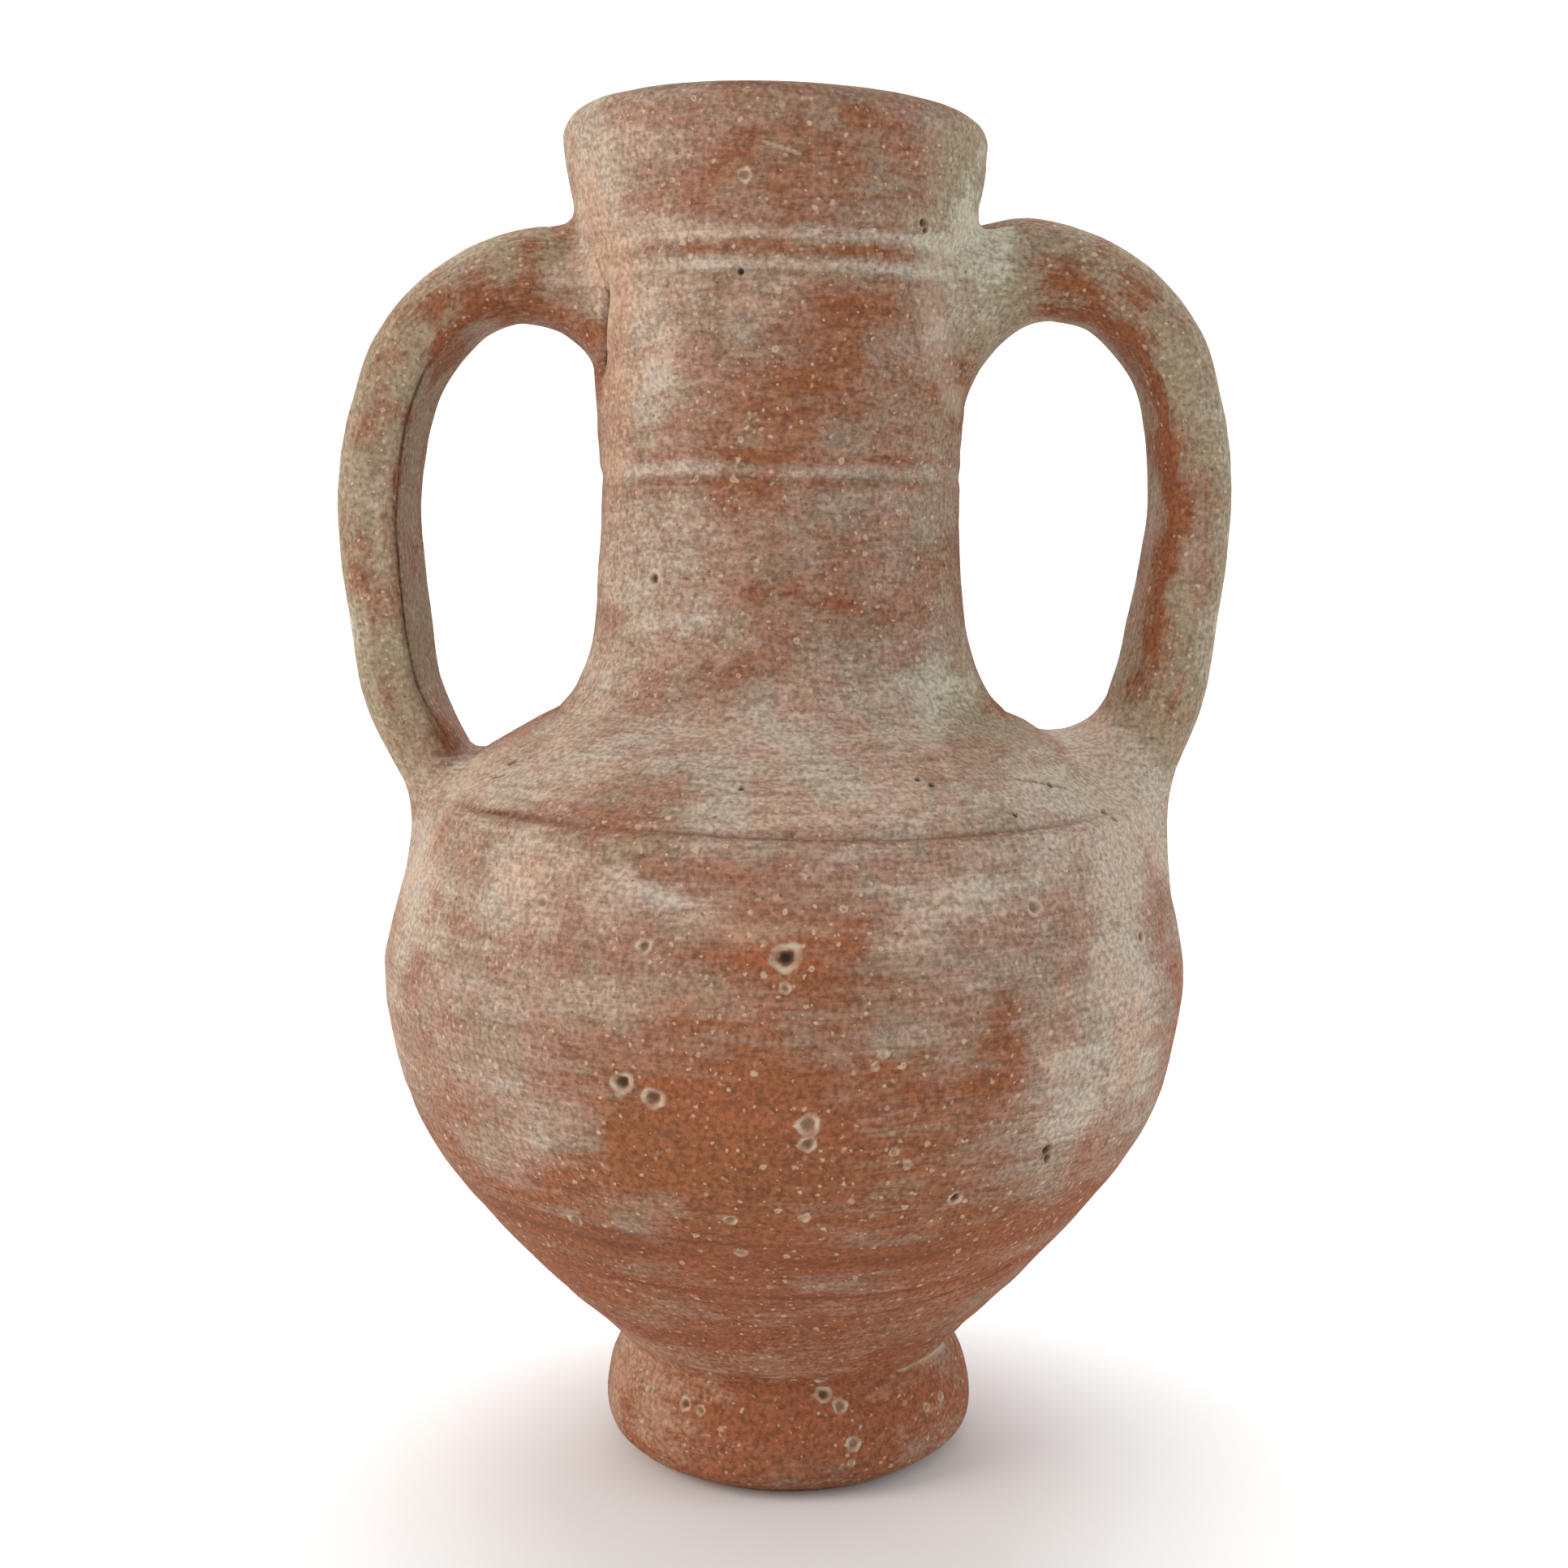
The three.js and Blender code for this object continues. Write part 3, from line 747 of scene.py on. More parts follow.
FINE_REACH = 3.4  # round the edges of the clay
SEAM_MARGIN = 1.5  # nothing is cut finer this close to a section's ends


def fine_places():
    """Places on the wall that need small faces: angle, length up the outline, and reach."""
    places = [(math.radians(s[0]), length_at(s[1]), 1.3 * s[2] + 0.5) for s in SPALLS + HOLES]
    for start, end, *_ in SCRATCHES:
        for share in np.linspace(0, 1, 30):
            angle, height = (rise(a, b, share) for a, b in zip(start, end))
            places.append((math.radians(angle), length_at(height), 1.0))
    for joint in JOINTS:
        for angle, length in zip(*clay_outline(joint, np.linspace(0, FULL_TURN, 110))):
            if math.cos(angle) > -0.1:
                places.append((angle, length, FINE_REACH))
    return places


def refine(bm, section):
    """Cut the faces near marks into smaller ones, before they are bent round the jar."""
    angle, place = np.array([face.calc_center_median()[:2] for face in bm.faces]).T
    radius = np.interp(place, section.place, section.rows[:, 0])
    wanted = np.zeros(len(place), bool)
    for at_angle, length, reach in fine_places():
        at_place = length - section.shift
        if section.low + SEAM_MARGIN < at_place < section.high - SEAM_MARGIN:
            wanted |= np.hypot(turned_by(angle, at_angle) * radius, place - at_place) < reach
    wanted &= (place > section.low) & (place < section.high)
    # The faces that close the ring at the back span the whole flat grid, so they stay as they are.
    first_angle = np.array([face.verts[0].co.x for face in bm.faces])
    wanted &= (np.abs(first_angle) < math.pi - 0.05) & (np.abs(angle - first_angle) < 0.1)
    edges = list({edge for face, cut in zip(bm.faces, wanted) if cut for edge in face.edges})
    if edges:
        bmesh.ops.subdivide_edges(bm, edges=edges, cuts=2, use_grid_fill=True)


def wall_streaks(angle, up):
    """Coordinates whose noise makes long level streaks round the jar."""
    return around(angle, STREAK_RADIUS, up * STREAK_CLIMB)


def wall_piece(section, material):
    """One thrown section of the wall."""
    mesh = turned_mesh(section)
    flat = np.zeros(len(mesh.vertices) * 3, np.float32)
    mesh.vertices.foreach_get("co", flat)
    angle, place, _ = flat.reshape(-1, 3).astype(float).T
    points, outside, length, radius = section.shape(angle, place)
    mesh.vertices.foreach_set("co", (points * METRE).astype(np.float32).ravel())
    stains = wall_stains(points, length, angle)
    spots = wall_spots(points, length, angle, radius)
    stains[~outside] = INNER_STAIN
    spots[~outside] = INNER_SPOTS
    store(mesh, stain=stains, spots=spots, streak=wall_streaks(angle, length))
    mesh.update()
    finish_piece(mesh, section.node, material)


# ---- hidden and inner rows of the sections

SEAM_IN, SEAM_DOWN = 5.7, 4.6  # how the shoulder's seams slope inwards and down through the wall
RIDGE_SEAM = [(RIDGE_RADIUS - SEAM_IN, RIDGE_Z - SEAM_DOWN)]
NECK_SEAM = [(NECK_BASE_RADIUS - SEAM_IN, NECK_BASE_Z - SEAM_DOWN)]
COLLAR_SEAM = [(NECK_TOP_RADIUS - WALL, COLLAR_Z)]


def inside_of(node):
    """The inside of a wall, from its top edge down to its bottom edge."""
    line = OUTLINES[node]
    inner = line - WALL * outward(line)
    return smooth_line(inner[2:-2:6], INNER_ROW_STEP)[::-1]


def foot_section():
    recess = [
        (RECESS_RADIUS, RECESS_TOP_Z),
        (RECESS_RADIUS + 1.2, 0.5 * RECESS_TOP_Z),
        (RECESS_RADIUS + 2.4, 2.4),
        (RECESS_RADIUS + 4, 0.4),
        (0.69 * FOOT_RADIUS, 0),
    ]
    return Section("foot_ring", smooth_line(recess, 1.2))


def belly_section():
    underside = [(r, RECESS_TOP_Z) for r in (0, 0.5 * RECESS_RADIUS, RECESS_RADIUS)]
    floor = [(0.55 * WAIST_RADIUS, FLOOR_Z + 1.2), (0.2 * WAIST_RADIUS, FLOOR_Z), (0, FLOOR_Z)]
    return Section("belly", RIDGE_SEAM, inside_of("belly"), smooth_line(floor, 4), before=underside)


def collar_section():
    centre = lip_centre + [-0.4, LIP_OUTER_RADIUS - LIP_INNER_RADIUS]
    inner = centre + LIP_INNER_RADIUS * np.hstack([-np.sin(LIP_TURN), np.cos(LIP_TURN)])
    waist = (0.79 * MOUTH_RADIUS, rise(COLLAR_Z, LIP_Z, 0.45))
    return Section("mouth_collar", inner, smooth_line([inner[-1] - [0, 1], waist, *COLLAR_SEAM], 2.5))


# ---- handles

SECTION_POINTS = 128
STRAP_ROWS = 240

# Middle lines in the plane of the handles, from inside the neck to inside the shoulder.
HANDLE_PATHS = {
    "left": [
        (38.5, 263), (57, 265.4), (73.3, 258.5), (84.9, 243),
        (90.6, 217), (89, 192), (84.6, 171), (72, 147),
    ],
    "right": [
        (38.5, 263.5), (57, 266.6), (74.3, 260.5), (86.7, 244.3),
        (91, 217), (88.6, 192), (83.8, 171), (73, 147),
    ],
}
STRAP_HALF_DEPTH = 13.6
# Thickness from the middle line outwards and inwards, at shares of the length.
THICKNESS_SHARES = [0, 0.1, 0.22, 0.4, 0.6, 0.8, 1]
OUTER_THICKNESS = {
    "left": [11.4, 11.6, 9.7, 8.4, 8.4, 8.2, 8.8],
    "right": [12.2, 12.4, 10.0, 8.0, 8.4, 9.2, 10.5],
}
INNER_THICKNESS = {
    "left": [10.2, 9.0, 7.0, 7.0, 7.3, 6.4, 8.5],
    "right": [10.4, 9.8, 8.0, 8.0, 8.8, 9.8, 10.2],
}
TWIST = {"left": 3.0, "right": 2.0}  # degrees that the front of the strap turns outwards
OUTER_SQUARENESS = 2.35
INNER_SQUARENESS = {"left": 6.5, "right": 3.2}
END_SQUARENESS = 2.6  # of the inner side, at the ends of a strap
STRAP_LUMPS = [(0.34, 26, 50), (0.15, 9, 51), (0.05, 4, 52)]  # strength, size and seed
CREASE_TURN = {"left": math.radians(222), "right": math.radians(228)}
CREASE_DEPTH = {"left": 0.8, "right": 0.15}
# How strongly the strap is painted darker along its crease.
CREASE_DARKENING = {"left": 1.0, "right": 0.3}
# Patches on the straps: share of the length, turn in degrees, half share, half turn, bloom and orange.
STRAP_PATCHES = {
    "left": [
        (0.2, 250, 0.06, 26, -0.45, 0.5), (0.27, 235, 0.035, 16, -0.5, 0.8),
        (0.13, 262, 0.04, 20, -0.1, 0.2), (0.17, 300, 0.06, 22, 0.15, 0.1), (0.5, 300, 0.16, 24, 0.15, 0),
        (0.37, 262, 0.08, 14, -0.2, 0.1), (0.62, 250, 0.1, 12, -0.25, 0.2),
        (0.75, 265, 0.06, 14, -0.25, 0.1), (0.5, 340, 0.3, 14, 0.2, 0), (0.52, 230, 0.26, 9, -0.45, 0.3),
        (0.44, 285, 0.05, 16, -0.2, 0.1), (0.58, 300, 0.05, 14, -0.25, 0.1),
        (0.22, 335, 0.12, 30, 0.3, 0),
    ],
    "right": [
        (0.2, 250, 0.08, 24, -0.15, 0.1), (0.25, 215, 0.07, 22, -0.25, 0.3),
        (0.4, 226, 0.1, 20, -0.5, 0.6), (0.58, 230, 0.13, 20, -0.6, 0.6),
        (0.75, 236, 0.08, 18, -0.35, 0.3), (0.5, 300, 0.2, 30, 0.1, 0), (0.8, 300, 0.08, 24, 0.1, 0.1),
        (0.3, 285, 0.08, 20, -0.15, 0.1), (0.72, 330, 0.16, 40, 0.3, 0), (0.2, 335, 0.12, 30, 0.25, 0),
    ],
}


class Strap:
    """One handle: points on its surface by share of its length and turn round its section."""

    def __init__(self, side):
        self.side = side
        self.path = smooth_line(HANDLE_PATHS[side], 0.5)
        self.tangent = np.gradient(self.path, axis=0)
        self.length = along(self.path)

    def surface(self, share, turn, shrink=0.0):
        """Points of the strap's surface. Turn 0 is the outer side and a quarter turn is the back."""
        place = share * self.length[-1]
        middle_x, middle_z = pick(self.path, self.length, place).T
        tangent_x, tangent_z = unit(pick(self.tangent, self.length, place)).T
        outer = np.interp(share, THICKNESS_SHARES, OUTER_THICKNESS[self.side]) - shrink
        inner = np.interp(share, THICKNESS_SHARES, INNER_THICKNESS[self.side]) - shrink
        cos, sin = np.cos(turn), np.sin(turn)
        free = between(0.12, 0.3, 0.75, 0.95, share)
        square = rise(END_SQUARENESS, INNER_SQUARENESS[self.side], free)
        across = np.where(cos > 0, squared(cos, OUTER_SQUARENESS) * outer, squared(cos, square) * inner)
        depth = squared(sin, np.where(cos > 0, OUTER_SQUARENESS, square)) * (STRAP_HALF_DEPTH - shrink)
        twist = np.sin(math.radians(TWIST[self.side]) * free)
        across, depth = across - depth * twist, depth + across * twist
        points = np.stack([middle_x - tangent_z * across, depth, middle_z + tangent_x * across], axis=1)
        away = unit(points - np.stack([middle_x, 0 * middle_x, middle_z], axis=1))
        crease = CREASE_DEPTH[self.side] * self.crease(share, turn)
        points += away * (layered(points, STRAP_LUMPS) - crease)[:, None]
        points[:, 0] *= SIDE_SIGN[self.side]
        return points

    def crease(self, share, turn):
        """1 along the folded front inner edge of the strap."""
        wander = 0.05 * np.sin(19 * share + 1) + 0.03 * np.sin(47 * share)
        near = bell(turn % FULL_TURN - CREASE_TURN[self.side] - wander, 0.1)
        return near * between(0.24, 0.36, 0.8, 0.92, share)


def strap_stains(side, points, share, turn):
    """Bloom, orange and olive strengths for points of a strap, with less bloom on its inner side as painted
    shade.
    """
    turn = turn % FULL_TURN
    bloom = 0.56 + layered(points, [(0.15, 16, 40), (0.15, 6, 41)])
    # The first term darkens the strap's inner side as painted shade.
    bloom -= 0.05 * smoothstep(0.5, 0.9, -np.cos(turn)) + 0.14 * (1 - smoothstep(0.2, 0.4, share))
    orange = 0.08 + 0.15 * waves(points, 12, 42)
    olive = 0.85 + 0.25 * waves(points, 20, 43) - 0.5 * smoothstep(0.75, 0.95, share)
    rough_share = share + 0.012 * waves(points, 7, 44)
    rough_turn = np.degrees(turn + 0.16 * waves(points, 6, 45))
    for at_share, at_turn, half_share, half_turn, more_bloom, more_orange in STRAP_PATCHES[side]:
        patch = bell(rough_share - at_share, half_share) * bell(rough_turn - at_turn, half_turn)
        bloom += more_bloom * patch
        orange += more_orange * patch
    return np.stack([bloom, orange, olive], axis=1)


def ring_faces(rings, sides, flip):
    """Faces between rings of a closed tube, with a face at each end."""
    ring, side = np.meshgrid(np.arange(rings - 1), np.arange(sides), indexing="ij")
    a = ring * sides + side
    b = ring * sides + (side + 1) % sides
    quads = np.stack([a, b, b + sides, a + sides], axis=-1).reshape(-1, 4)
    first = list(range(sides))
    last = [(rings - 1) * sides + i for i in range(sides)]
    if flip:
        return quads[:, ::-1].tolist() + [first, last[::-1]]
    return quads.tolist() + [first[::-1], last]


def tube_mesh(points, rings, sides, flip):
    mesh = bpy.data.meshes.new("tube")
    mesh.from_pydata((points * METRE).tolist(), [], ring_faces(rings, sides, flip))
    mesh.update()
    return mesh


def handle_piece(side, material):
    strap = Strap(side)
    shares = np.linspace(0, 1, STRAP_ROWS)
    turns = np.linspace(0, FULL_TURN, SECTION_POINTS, endpoint=False)
    share, turn = (grid.ravel() for grid in np.meshgrid(shares, turns, indexing="ij"))
    points = strap.surface(share, turn)
    mesh = tube_mesh(points, STRAP_ROWS, SECTION_POINTS, SIDE_SIGN[side] > 0)
    # The strap is painted darker along its crease.
    dirt = strap.crease(share, turn) * CREASE_DARKENING[side]
    store(
        mesh,
        stain=strap_stains(side, points, share, turn),
        spots=np.stack([0 * share, 0 * share, dirt], axis=1),
        streak=np.stack([np.cos(turn), np.sin(turn), share * 2.2], axis=1),
    )
    finish_piece(mesh, f"handle_{side}", material)


# ---- luting clay

CLAY_TURNS = 160
CLAY_ROWS = 30
CLAY_BASE_SHARES = (0.05, 0.35, 0.65, 0.9)  # hidden rings of a footprint, just under the wall's surface
CLAY_BASE_DEPTH = 2.0
CLAY_TIP_ROWS = 2  # hidden rings inside the strap
CLAY_TIP_SHARE = {"upper": 0.04, "lower": 0.96}  # of the strap's length, where the last ring lies
CLAY_STEP = {"upper": -0.012, "lower": 0.012}  # a short way along the strap, back towards the wall
CLAY_LUMPS = [(0.2, 9, 60), (0.08, 4, 61)]  # strength, size and seed
CLAY_PULL = 0.36  # how far the flare follows the wall and the strap before it bends, as a share of its span
CLAY_SINK = 0.12  # how far the flare's thin end sinks into the strap


def clay_flare(foot, first, second, top):
    """Rings from a footprint to a ring round the strap, along Bezier curves."""
    return [
        foot * (1 - t) ** 3 + 3 * first * t * (1 - t) ** 2 + 3 * second * t**2 * (1 - t) + top * t**3
        for t in np.linspace(0, 1, CLAY_ROWS)
    ]


def clay_rings(joint, strap, share, turn, angle, length):
    """Rings of points from under the wall's surface, up the flare, and back down inside the strap."""
    middle_angle, middle_length = SIDE_SIGN[joint.side] * math.pi / 2, length_at(joint.height)

    def inner_ring(part, extra):
        """A ring on the wall inside the footprint, at a share of the way from its middle to its edge."""
        ring_angle, ring_length = rise(middle_angle, angle, part), rise(middle_length, length, part)
        return wall_surface(ring_angle, ring_length, extra)[0]

    foot, normal = wall_surface(angle, length, extra=joint.proud - 0.1)
    slope = unit(inner_ring(0.8, joint.proud + 0.4) - foot)
    top = strap.surface(share, turn, shrink=CLAY_SINK)
    back_along = unit(strap.surface(share + CLAY_STEP[joint.end], turn, shrink=CLAY_SINK) - top)
    pull = CLAY_PULL * np.linalg.norm(top - foot, axis=1, keepdims=True)
    rings = [inner_ring(part, -CLAY_BASE_DEPTH) for part in CLAY_BASE_SHARES] + [foot - 0.8 * normal]
    rings += clay_flare(foot, foot + slope * pull, top + back_along * pull, top)
    rings.append(strap.surface(share, turn, shrink=1.8))
    rings.append(strap.surface(np.full(CLAY_TURNS, CLAY_TIP_SHARE[joint.end]), turn, shrink=3.5))
    return np.array(rings)


def clay_piece(joint, material):
    """A flare of soft clay from its footprint on the wall to a ring round the strap."""
    strap = Strap(joint.side)
    turn = np.linspace(0, FULL_TURN, CLAY_TURNS, endpoint=False)
    # The strap's outer side faces up where it meets the neck, and down where it meets the shoulder.
    wall_turn = turn if joint.end == "upper" else math.pi - turn
    angle, length = clay_outline(joint, wall_turn)
    share = rise(joint.outer_share, joint.inner_share, (1 - np.cos(turn)) / 2)
    rings = clay_rings(joint, strap, share, turn, angle, length)
    count = len(rings)

    base, tip = np.zeros(len(CLAY_BASE_SHARES) + 1), np.ones(CLAY_TIP_ROWS)
    free = np.concatenate([base, np.sin(np.linspace(0, math.pi, CLAY_ROWS)), 0 * tip])
    lumps = layered(rings.reshape(-1, 3), CLAY_LUMPS).reshape(rings.shape[:2])
    away = rings - rings.mean(axis=1, keepdims=True)
    away /= np.linalg.norm(away, axis=2, keepdims=True) + 1e-9
    points = (rings + away * (lumps * free[:, None])[:, :, None]).reshape(-1, 3)
    mesh = tube_mesh(points, count, CLAY_TURNS, (SIDE_SIGN[joint.side] > 0) == (joint.end == "upper"))

    row_share = np.concatenate([base, np.linspace(0, 1, CLAY_ROWS), tip]).repeat(CLAY_TURNS)
    wall_angle = np.arctan2(points[:, 0], -points[:, 1])
    on_wall = wall_stains(points, np.tile(length, count), wall_angle)
    on_wall[:, 0] += joint.more_bloom * smoothstep(0, 0.25, row_share)
    on_strap = strap_stains(joint.side, points, np.tile(share, count), np.tile(turn, count))
    # Where this clay overhangs the crevice, its edge is painted near-black: painted shadow.
    crevice, _ = clay_edge_marks(joint, angle, length, np.zeros(CLAY_TURNS))
    pit = 0.8 * np.tile(crevice, count) * (1 - smoothstep(0.03, 0.12, row_share))
    in_front = smoothstep(0.05, 0.3, np.cos(wall_angle))
    smear = joint.edge_bloom * in_front * (1 - smoothstep(0, 0.2, row_share))
    store(
        mesh,
        stain=rise(on_wall, on_strap, smoothstep(0.55, 1.0, row_share)[:, None]),
        spots=np.stack([smear, pit, 0 * pit], axis=1),
        streak=wall_streaks(wall_angle, points[:, 2]),
    )
    finish_piece(mesh, f"luting_clay_{joint.side}_{joint.end}", material)


# ---- materials

class Graph:
    """A small helper for building one material's nodes."""

    def __init__(self, name):
        self.material = bpy.data.materials.new(name)
        self.material.use_nodes = True
        self.tree = self.material.node_tree
        self.tree.nodes.clear()

    def node(self, kind, inputs=(), **settings):
        """Add a node, set its properties, and link or set its inputs, given by name or number."""
        made = self.tree.nodes.new("ShaderNode" + kind)
        for key, value in settings.items():
            setattr(made, key, value)
        for key, value in dict(inputs).items():
            if isinstance(value, bpy.types.NodeSocket):
                self.tree.links.new(value, made.inputs[key])
            else:
                made.inputs[key].default_value = value
        return made

    def math(self, operation, *values):
        return self.node("Math", enumerate(values), operation=operation).outputs[0]

    def total(self, start, *terms):
        """A start value plus weighted deviations of 0 to 1 fields from their middle."""
        for field, weight in terms:
            start = self.math("ADD", start, self.math("MULTIPLY_ADD", field, weight, -0.5 * weight))
        return start

    def ramp(self, value, low, high, start=0.0, end=1.0):
        """From start below low to end above high, and smooth between."""
        inputs = enumerate((value, low, high, start, end))
        return self.node("MapRange", inputs, interpolation_type="SMOOTHSTEP").outputs["Result"]

    def mix(self, share, a, b):
        return self.node("Mix", {0: share, 6: a, 7: b}, data_type="RGBA").outputs[2]

    def lay(self, colour, over, strength, share=1.0):
        """A colour with another laid over it, as strongly as two values multiplied."""
        return self.mix(self.math("MULTIPLY", strength, share), colour, over)

    def brighten(self, colour, factor):
        return self.node("VectorMath", {0: colour, "Scale": factor}, operation="SCALE").outputs[0]

    def attribute(self, name):
        """A mesh attribute as a vector."""
        return self.node("Attribute", attribute_name=name).outputs["Vector"]

    def parts(self, vector):
        return self.node("SeparateXYZ", {0: vector}).outputs

    def noise(self, vector, scale, detail, roughness):
        inputs = {"Vector": vector, "Scale": scale, "Detail": detail, "Roughness": roughness}
        return self.node("TexNoise", inputs).outputs["Fac"]

    def shaken(self, vector, scale, reach):
        """Coordinates shifted about by noise, so that round cells become uneven."""
        noise = self.node("TexNoise", {"Vector": vector, "Scale": scale}).outputs["Color"]
        inputs = {0: noise, 1: (reach, reach, reach), 2: vector}
        return self.node("VectorMath", inputs, operation="MULTIPLY_ADD").outputs[0]

    def grains(self, vector, scale, smallest, largest, chance):
        """Scattered grains: 1 inside each, from the smallest to the largest radius in millimetres."""
        cells = self.node("TexVoronoi", {"Vector": vector, "Scale": scale}).outputs
        random = self.node("SeparateColor", {0: cells["Color"]}).outputs
        unit_size = scale * METRE
        span, start = (largest - smallest) * unit_size, smallest * unit_size
        ratio = self.math("DIVIDE", cells["Distance"], self.math("MULTIPLY_ADD", random[1], span, start))
        here = self.math("LESS_THAN", random[0], chance)
        disc = self.math("MULTIPLY", self.ramp(ratio, 0.7, 1.15, 1.0, 0.0), here)
        middle = self.math("MULTIPLY", self.ramp(ratio, 0.3, 0.6, 1.0, 0.0), here)
        return disc, middle, random[2]

    def finish(self, **inputs):
        """End the material with one shader, its inputs given by name with _ for a space."""
        named = {name.replace("_", " "): value for name, value in inputs.items()}
        shader = self.node("BsdfPrincipled", named)
        self.node("OutputMaterial", {0: shader.outputs[0]})
        return self.material


# Colours of the fired clay and what lies on it.
RUST_DARK = (0.218, 0.083, 0.042, 1)
RUST = (0.262, 0.095, 0.039, 1)
ORANGE = (0.300, 0.099, 0.046, 1)
ROSE = (0.318, 0.178, 0.124, 1)
TAUPE = (0.284, 0.190, 0.130, 1)
PALE = (0.475, 0.345, 0.258, 1)
PEACH = (0.490, 0.310, 0.212, 1)
GREY = (0.455, 0.375, 0.298, 1)
OLIVE = (0.310, 0.243, 0.158, 1)
LICHEN = (0.465, 0.430, 0.325, 1)
APRICOT = (0.395, 0.212, 0.128, 1)
# The lime colour is also laid on the ridge by the left handle's clay, partly as painted highlight.
LIME_AND_HIGHLIGHT = (0.570, 0.460, 0.335, 1)
SPECK = (0.620, 0.450, 0.310, 1)
# The pit colour also paints the crevice's shadow by the left handle's clay.
PIT_AND_SHADOW = (0.030, 0.024, 0.018, 1)
DIRT = (0.125, 0.048, 0.026, 1)
FLOOR_SHADES = ((0.93, 0.93, 0.93, 1), (0.95, 0.95, 0.95, 1))

# Noise through the clay, and noise drawn out into streaks by the wheel: scale, detail and roughness.
CLAY_NOISE = {
    "broad": (45, 3, 0.55),
    "haze": (90, 3, 0.6),
    "middle": (160, 4, 0.6),
    "fine": (560, 3, 0.65),
    "sand": (950, 2, 0.55),
}
STREAK_NOISE = {"streaks": (6, 4, 0.65), "threads": (24, 3, 0.6)}
# Grains in the clay: cells per metre, smallest and largest radius, and the share of cells that hold one.
SPECK_GRAINS = (270, 0.25, 0.85, 0.9)
CRUMB_GRAINS = (560, 0.2, 0.5, 0.85)
HOLE_GRAINS = (600, 0.12, 0.34, 0.5)
GRIT_RANGE, GRIT_LOW = 0.64, 0.68  # how much lighter the brightest sand is than the darkest, and the darkest
BUMP_DEPTH = 0.0004  # metres


def bloomed_colour(g, f):
    """The clay under its scum: from bare rust, through rose, to a pale, peach or greenish bloom."""
    # Less bloom leaves barer, darker clay, so where the bloom strength was lowered as painted shade, this
    # paints that shade.
    cover = g.total(f.bloom, (f.broad, 0.7), (f.middle, 0.5), (f.streaks, 1.1), (f.threads, 0.38))
    cover = g.total(cover, (f.fine, 0.18), (f.sand, 0.08))
    heat = g.ramp(f.orange, 0.7, 1.3, 0.0, 0.75)
    bare = g.mix(g.ramp(g.total(f.fine, (f.middle, 0.8), (f.threads, 0.6)), 0.25, 0.6), RUST_DARK, RUST)
    bare = g.mix(g.ramp(f.orange, 0.1, 1.0, 0.0, 0.75), bare, ORANGE)
    middling = g.mix(g.ramp(f.haze, 0.44, 0.62), ROSE, TAUPE)
    middling = g.mix(heat, middling, APRICOT)
    top = g.mix(g.ramp(f.broad, 0.4, 0.62), PALE, GREY)
    top = g.mix(g.ramp(f.orange, 0.2, 0.9, 0.0, 0.9), top, PEACH)
    top = g.mix(heat, top, APRICOT)
    colour = g.mix(g.ramp(cover, 0.0, 0.62), bare, middling)
    colour = g.mix(g.ramp(cover, 0.45, 1.25), colour, top)
    green = g.mix(g.ramp(cover, 0.85, 1.45), OLIVE, LICHEN)
    return g.lay(colour, green, g.ramp(f.olive, 0.1, 1.0, 0.0, 0.9), g.ramp(cover, 0.1, 0.7))


def gritty_colour(g, f, colour, grains):
    """Sand, crumbs and small holes, as lighter and darker grains."""
    grit = g.ramp(g.total(0.5, (f.sand, 1.5), (f.fine, 0.6), (f.threads, 0.25)), 0.1, 0.9)
    colour = g.brighten(colour, g.math("MULTIPLY_ADD", grit, GRIT_RANGE, GRIT_LOW))
    colour = g.lay(colour, SPECK, grains.speck, g.ramp(grains.speck_random, 0.0, 1.0, 0.15, 0.8))
    colour = g.lay(colour, SPECK, grains.crumb, g.ramp(grains.crumb_random, 0.0, 1.0, 0.1, 0.75))
    colour = g.lay(colour, DIRT, grains.hollow, 0.45)
    return g.lay(colour, DIRT, grains.hole, 0.55)


def marked_colour(g, f, colour):
    """The large burst grains, soiled lines and pits that the mesh places, with the crevice's painted shadow
    and the ridge's partly painted highlight by the left handle's clay.
    """
    colour = g.lay(colour, LIME_AND_HIGHLIGHT, f.lime, g.ramp(f.fine, 0.3, 0.6, 0.65, 1.0))
    colour = g.lay(colour, DIRT, f.dirt, g.ramp(f.fine, 0.35, 0.6, 0.35, 1.0))
    return g.mix(f.pit, colour, PIT_AND_SHADOW)


def fine_bump(g, f, grains):
    """Fine relief that the mesh is too coarse to hold."""
    height = g.total(0.0, (f.sand, 0.5), (f.fine, 1.0), (f.threads, 0.7), (f.middle, 0.6))
    height = g.math("ADD", height, g.math("MULTIPLY", grains.speck, 0.25))
    height = g.math("SUBTRACT", height, g.math("ADD", grains.hole, grains.hollow))
    inputs = {"Strength": 0.5, "Distance": BUMP_DEPTH, "Height": height}
    return g.node("Bump", inputs).outputs["Normal"]


def scattered_grains(g, where):
    """Specks, the hollows in some of them, crumbs and small holes."""
    uneven = g.shaken(where, 800, 0.0012)
    grains = SimpleNamespace()
    grains.speck, middle, grains.speck_random = g.grains(uneven, *SPECK_GRAINS)
    grains.crumb, _, grains.crumb_random = g.grains(uneven, *CRUMB_GRAINS)
    grains.hole, _, _ = g.grains(uneven, *HOLE_GRAINS)
    grains.hollow = g.math("MULTIPLY", middle, g.ramp(grains.speck_random, 0.75, 0.85))
    return grains


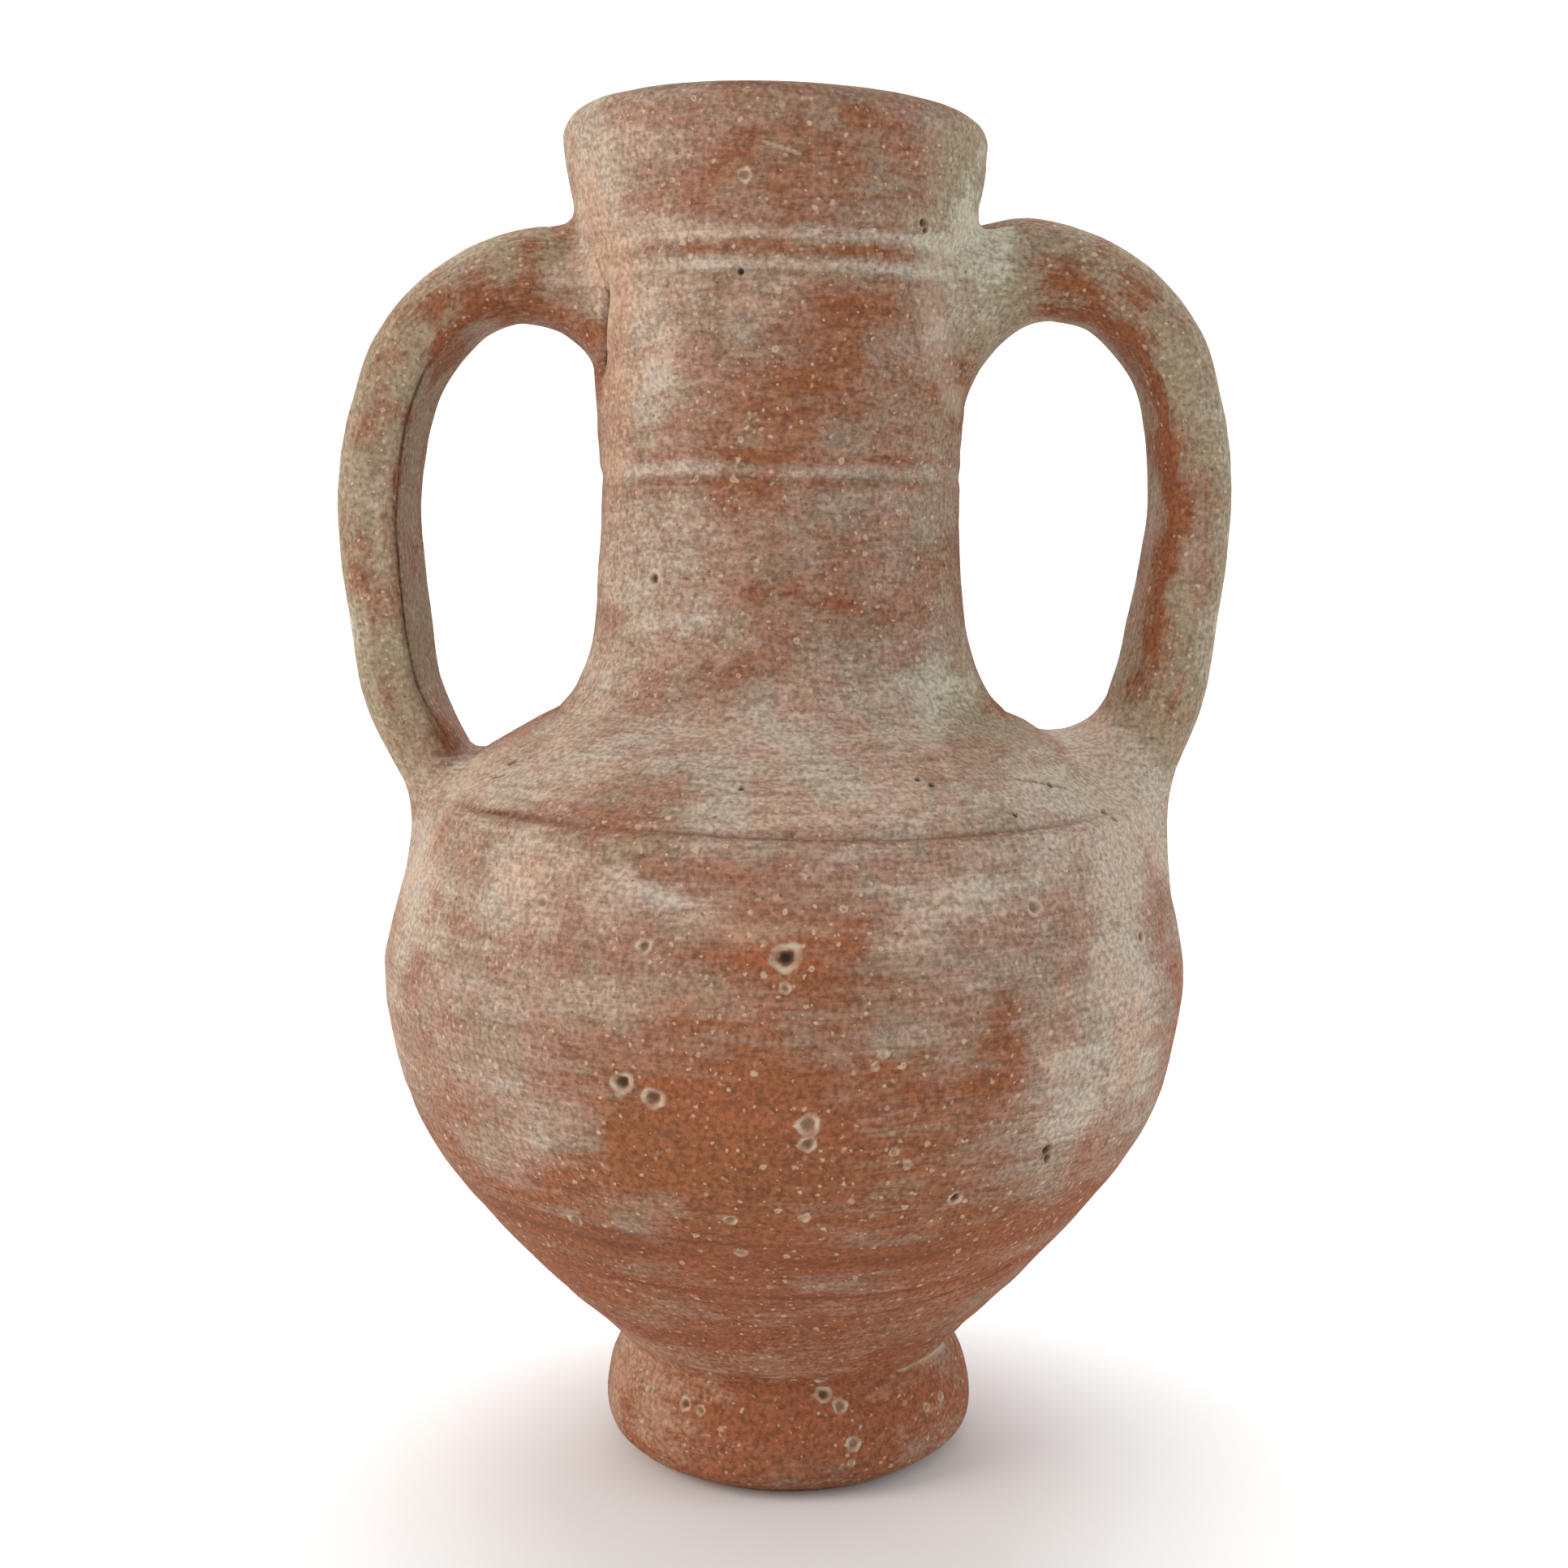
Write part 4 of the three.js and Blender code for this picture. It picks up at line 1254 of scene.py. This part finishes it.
def clay_material(name):
    """Coarse red earthenware with sand, pale bloom, wheel streaks, burst lime and soiled creases."""
    g = Graph(name)
    where = g.node("TexCoord").outputs["Object"]
    streak = g.attribute("streak")
    f = SimpleNamespace()
    f.bloom, f.orange, f.olive = g.parts(g.attribute("stain"))
    f.lime, f.pit, f.dirt = g.parts(g.attribute("spots"))
    for field, shape in CLAY_NOISE.items():
        setattr(f, field, g.noise(where, *shape))
    for field, shape in STREAK_NOISE.items():
        setattr(f, field, g.noise(streak, *shape))
    grains = scattered_grains(g, where)
    colour = gritty_colour(g, f, bloomed_colour(g, f), grains)
    return g.finish(
        Base_Color=marked_colour(g, f, colour),
        Roughness=g.ramp(f.fine, 0.3, 0.7, 0.8, 0.96),
        Specular_IOR_Level=0.2,
        Normal=fine_bump(g, f, grains),
    )


def floor_material():
    g = Graph("pale_floor")
    shade = g.noise(g.node("TexCoord").outputs["Object"], 3, 2, 0.5)
    return g.finish(Base_Color=g.mix(shade, *FLOOR_SHADES), Roughness=0.9, Specular_IOR_Level=0.1)


# ---- stage, light and camera: metres from here on

FLOOR_FRONT, FLOOR_BACK, FLOOR_HALF_WIDTH = -2.2, 1.3, 2.6
SWEEP_RADIUS, SWEEP_TOP = 0.6, 2.6
# Round soft lights: place, size, watts, colour and what each is aimed at.
JAR_MIDDLE, BACKDROP_MIDDLE = (0, 0, 0.15), (0, 1.9, 0.6)
LIGHTS = {
    "key": ((-1.15, -0.55, 0.75), 0.8, 9.3, (1.0, 0.95, 0.87), JAR_MIDDLE),
    "fill": ((1.25, -0.25, 0.5), 1.0, 3.7, (0.87, 0.975, 1.0), JAR_MIDDLE),
    "top": ((0.0, 0.5, 1.3), 1.4, 6, (1.0, 1.0, 1.0), JAR_MIDDLE),
    "backdrop": ((0.0, 0.75, 1.7), 1.6, 22, (1.0, 1.0, 1.0), BACKDROP_MIDDLE),
}
SKY_COLOUR = (0.98, 0.99, 1.0, 1.0)
SKY_STRENGTH = 0.62
CAMERA_DISTANCE = 0.4577
CAMERA_HEIGHT = 0.209
CAMERA_PITCH = 6.95  # degrees down
CAMERA_LENS = 46.4
CAMERA_SENSOR = 36


def make_stage():
    """A pale floor that sweeps up behind the jar."""
    profile = [(FLOOR_FRONT, 0.0), (FLOOR_BACK, 0.0)]
    for turn in np.linspace(0, math.pi / 2, 14)[1:]:
        profile.append((FLOOR_BACK + SWEEP_RADIUS * math.sin(turn), SWEEP_RADIUS * (1 - math.cos(turn))))
    profile.append((FLOOR_BACK + SWEEP_RADIUS, SWEEP_TOP))
    verts = [(x, y, z) for y, z in profile for x in (-FLOOR_HALF_WIDTH, FLOOR_HALF_WIDTH)]
    faces = [(2 * i, 2 * i + 1, 2 * i + 3, 2 * i + 2) for i in range(len(profile) - 1)]
    mesh = bpy.data.meshes.new("floor")
    mesh.from_pydata(verts, [], faces)
    mesh.polygons.foreach_set("use_smooth", np.ones(len(mesh.polygons), bool))
    mesh.materials.append(floor_material())
    floor = bpy.data.objects.new("floor", mesh)
    bpy.context.scene.collection.objects.link(floor)


def make_light(name, place, size, power, colour, target):
    data = bpy.data.lights.new(name, "AREA")
    data.shape = "DISK"
    data.size = size
    data.energy = power
    data.color = colour
    light = bpy.data.objects.new(name, data)
    light.location = place
    x, y, z = np.array(place) - target
    light.rotation_euler = (math.atan2(math.hypot(x, y), z), 0, math.atan2(x, -y))
    bpy.context.scene.collection.objects.link(light)


def make_sky():
    world = bpy.data.worlds.new("studio")
    world.use_nodes = True
    background = world.node_tree.nodes["Background"]
    background.inputs["Color"].default_value = SKY_COLOUR
    background.inputs["Strength"].default_value = SKY_STRENGTH
    bpy.context.scene.world = world


def make_camera():
    data = bpy.data.cameras.new("view")
    data.lens = CAMERA_LENS
    data.sensor_width = CAMERA_SENSOR
    data.clip_start = 0.01
    camera = bpy.data.objects.new("view", data)
    camera.location = (0, -CAMERA_DISTANCE, CAMERA_HEIGHT)
    camera.rotation_euler = (math.radians(90 - CAMERA_PITCH), 0, 0)
    bpy.context.scene.collection.objects.link(camera)
    bpy.context.scene.camera = camera


# ---- assembly

make_camera()
clay = clay_material("earthenware")
wall_piece(foot_section(), clay)
wall_piece(belly_section(), clay)
wall_piece(Section("shoulder", NECK_SEAM, inside_of("shoulder"), RIDGE_SEAM), clay)
wall_piece(Section("neck", COLLAR_SEAM, inside_of("neck"), NECK_SEAM), clay)
wall_piece(collar_section(), clay)
for side in SIDE_SIGN:
    handle_piece(side, clay)
    for joint in JOINTS:
        if joint.side == side:
            clay_piece(joint, clay)

make_stage()
for name, settings in LIGHTS.items():
    make_light(name, *settings)
make_sky()
bpy.context.scene.view_settings.view_transform = "Standard"
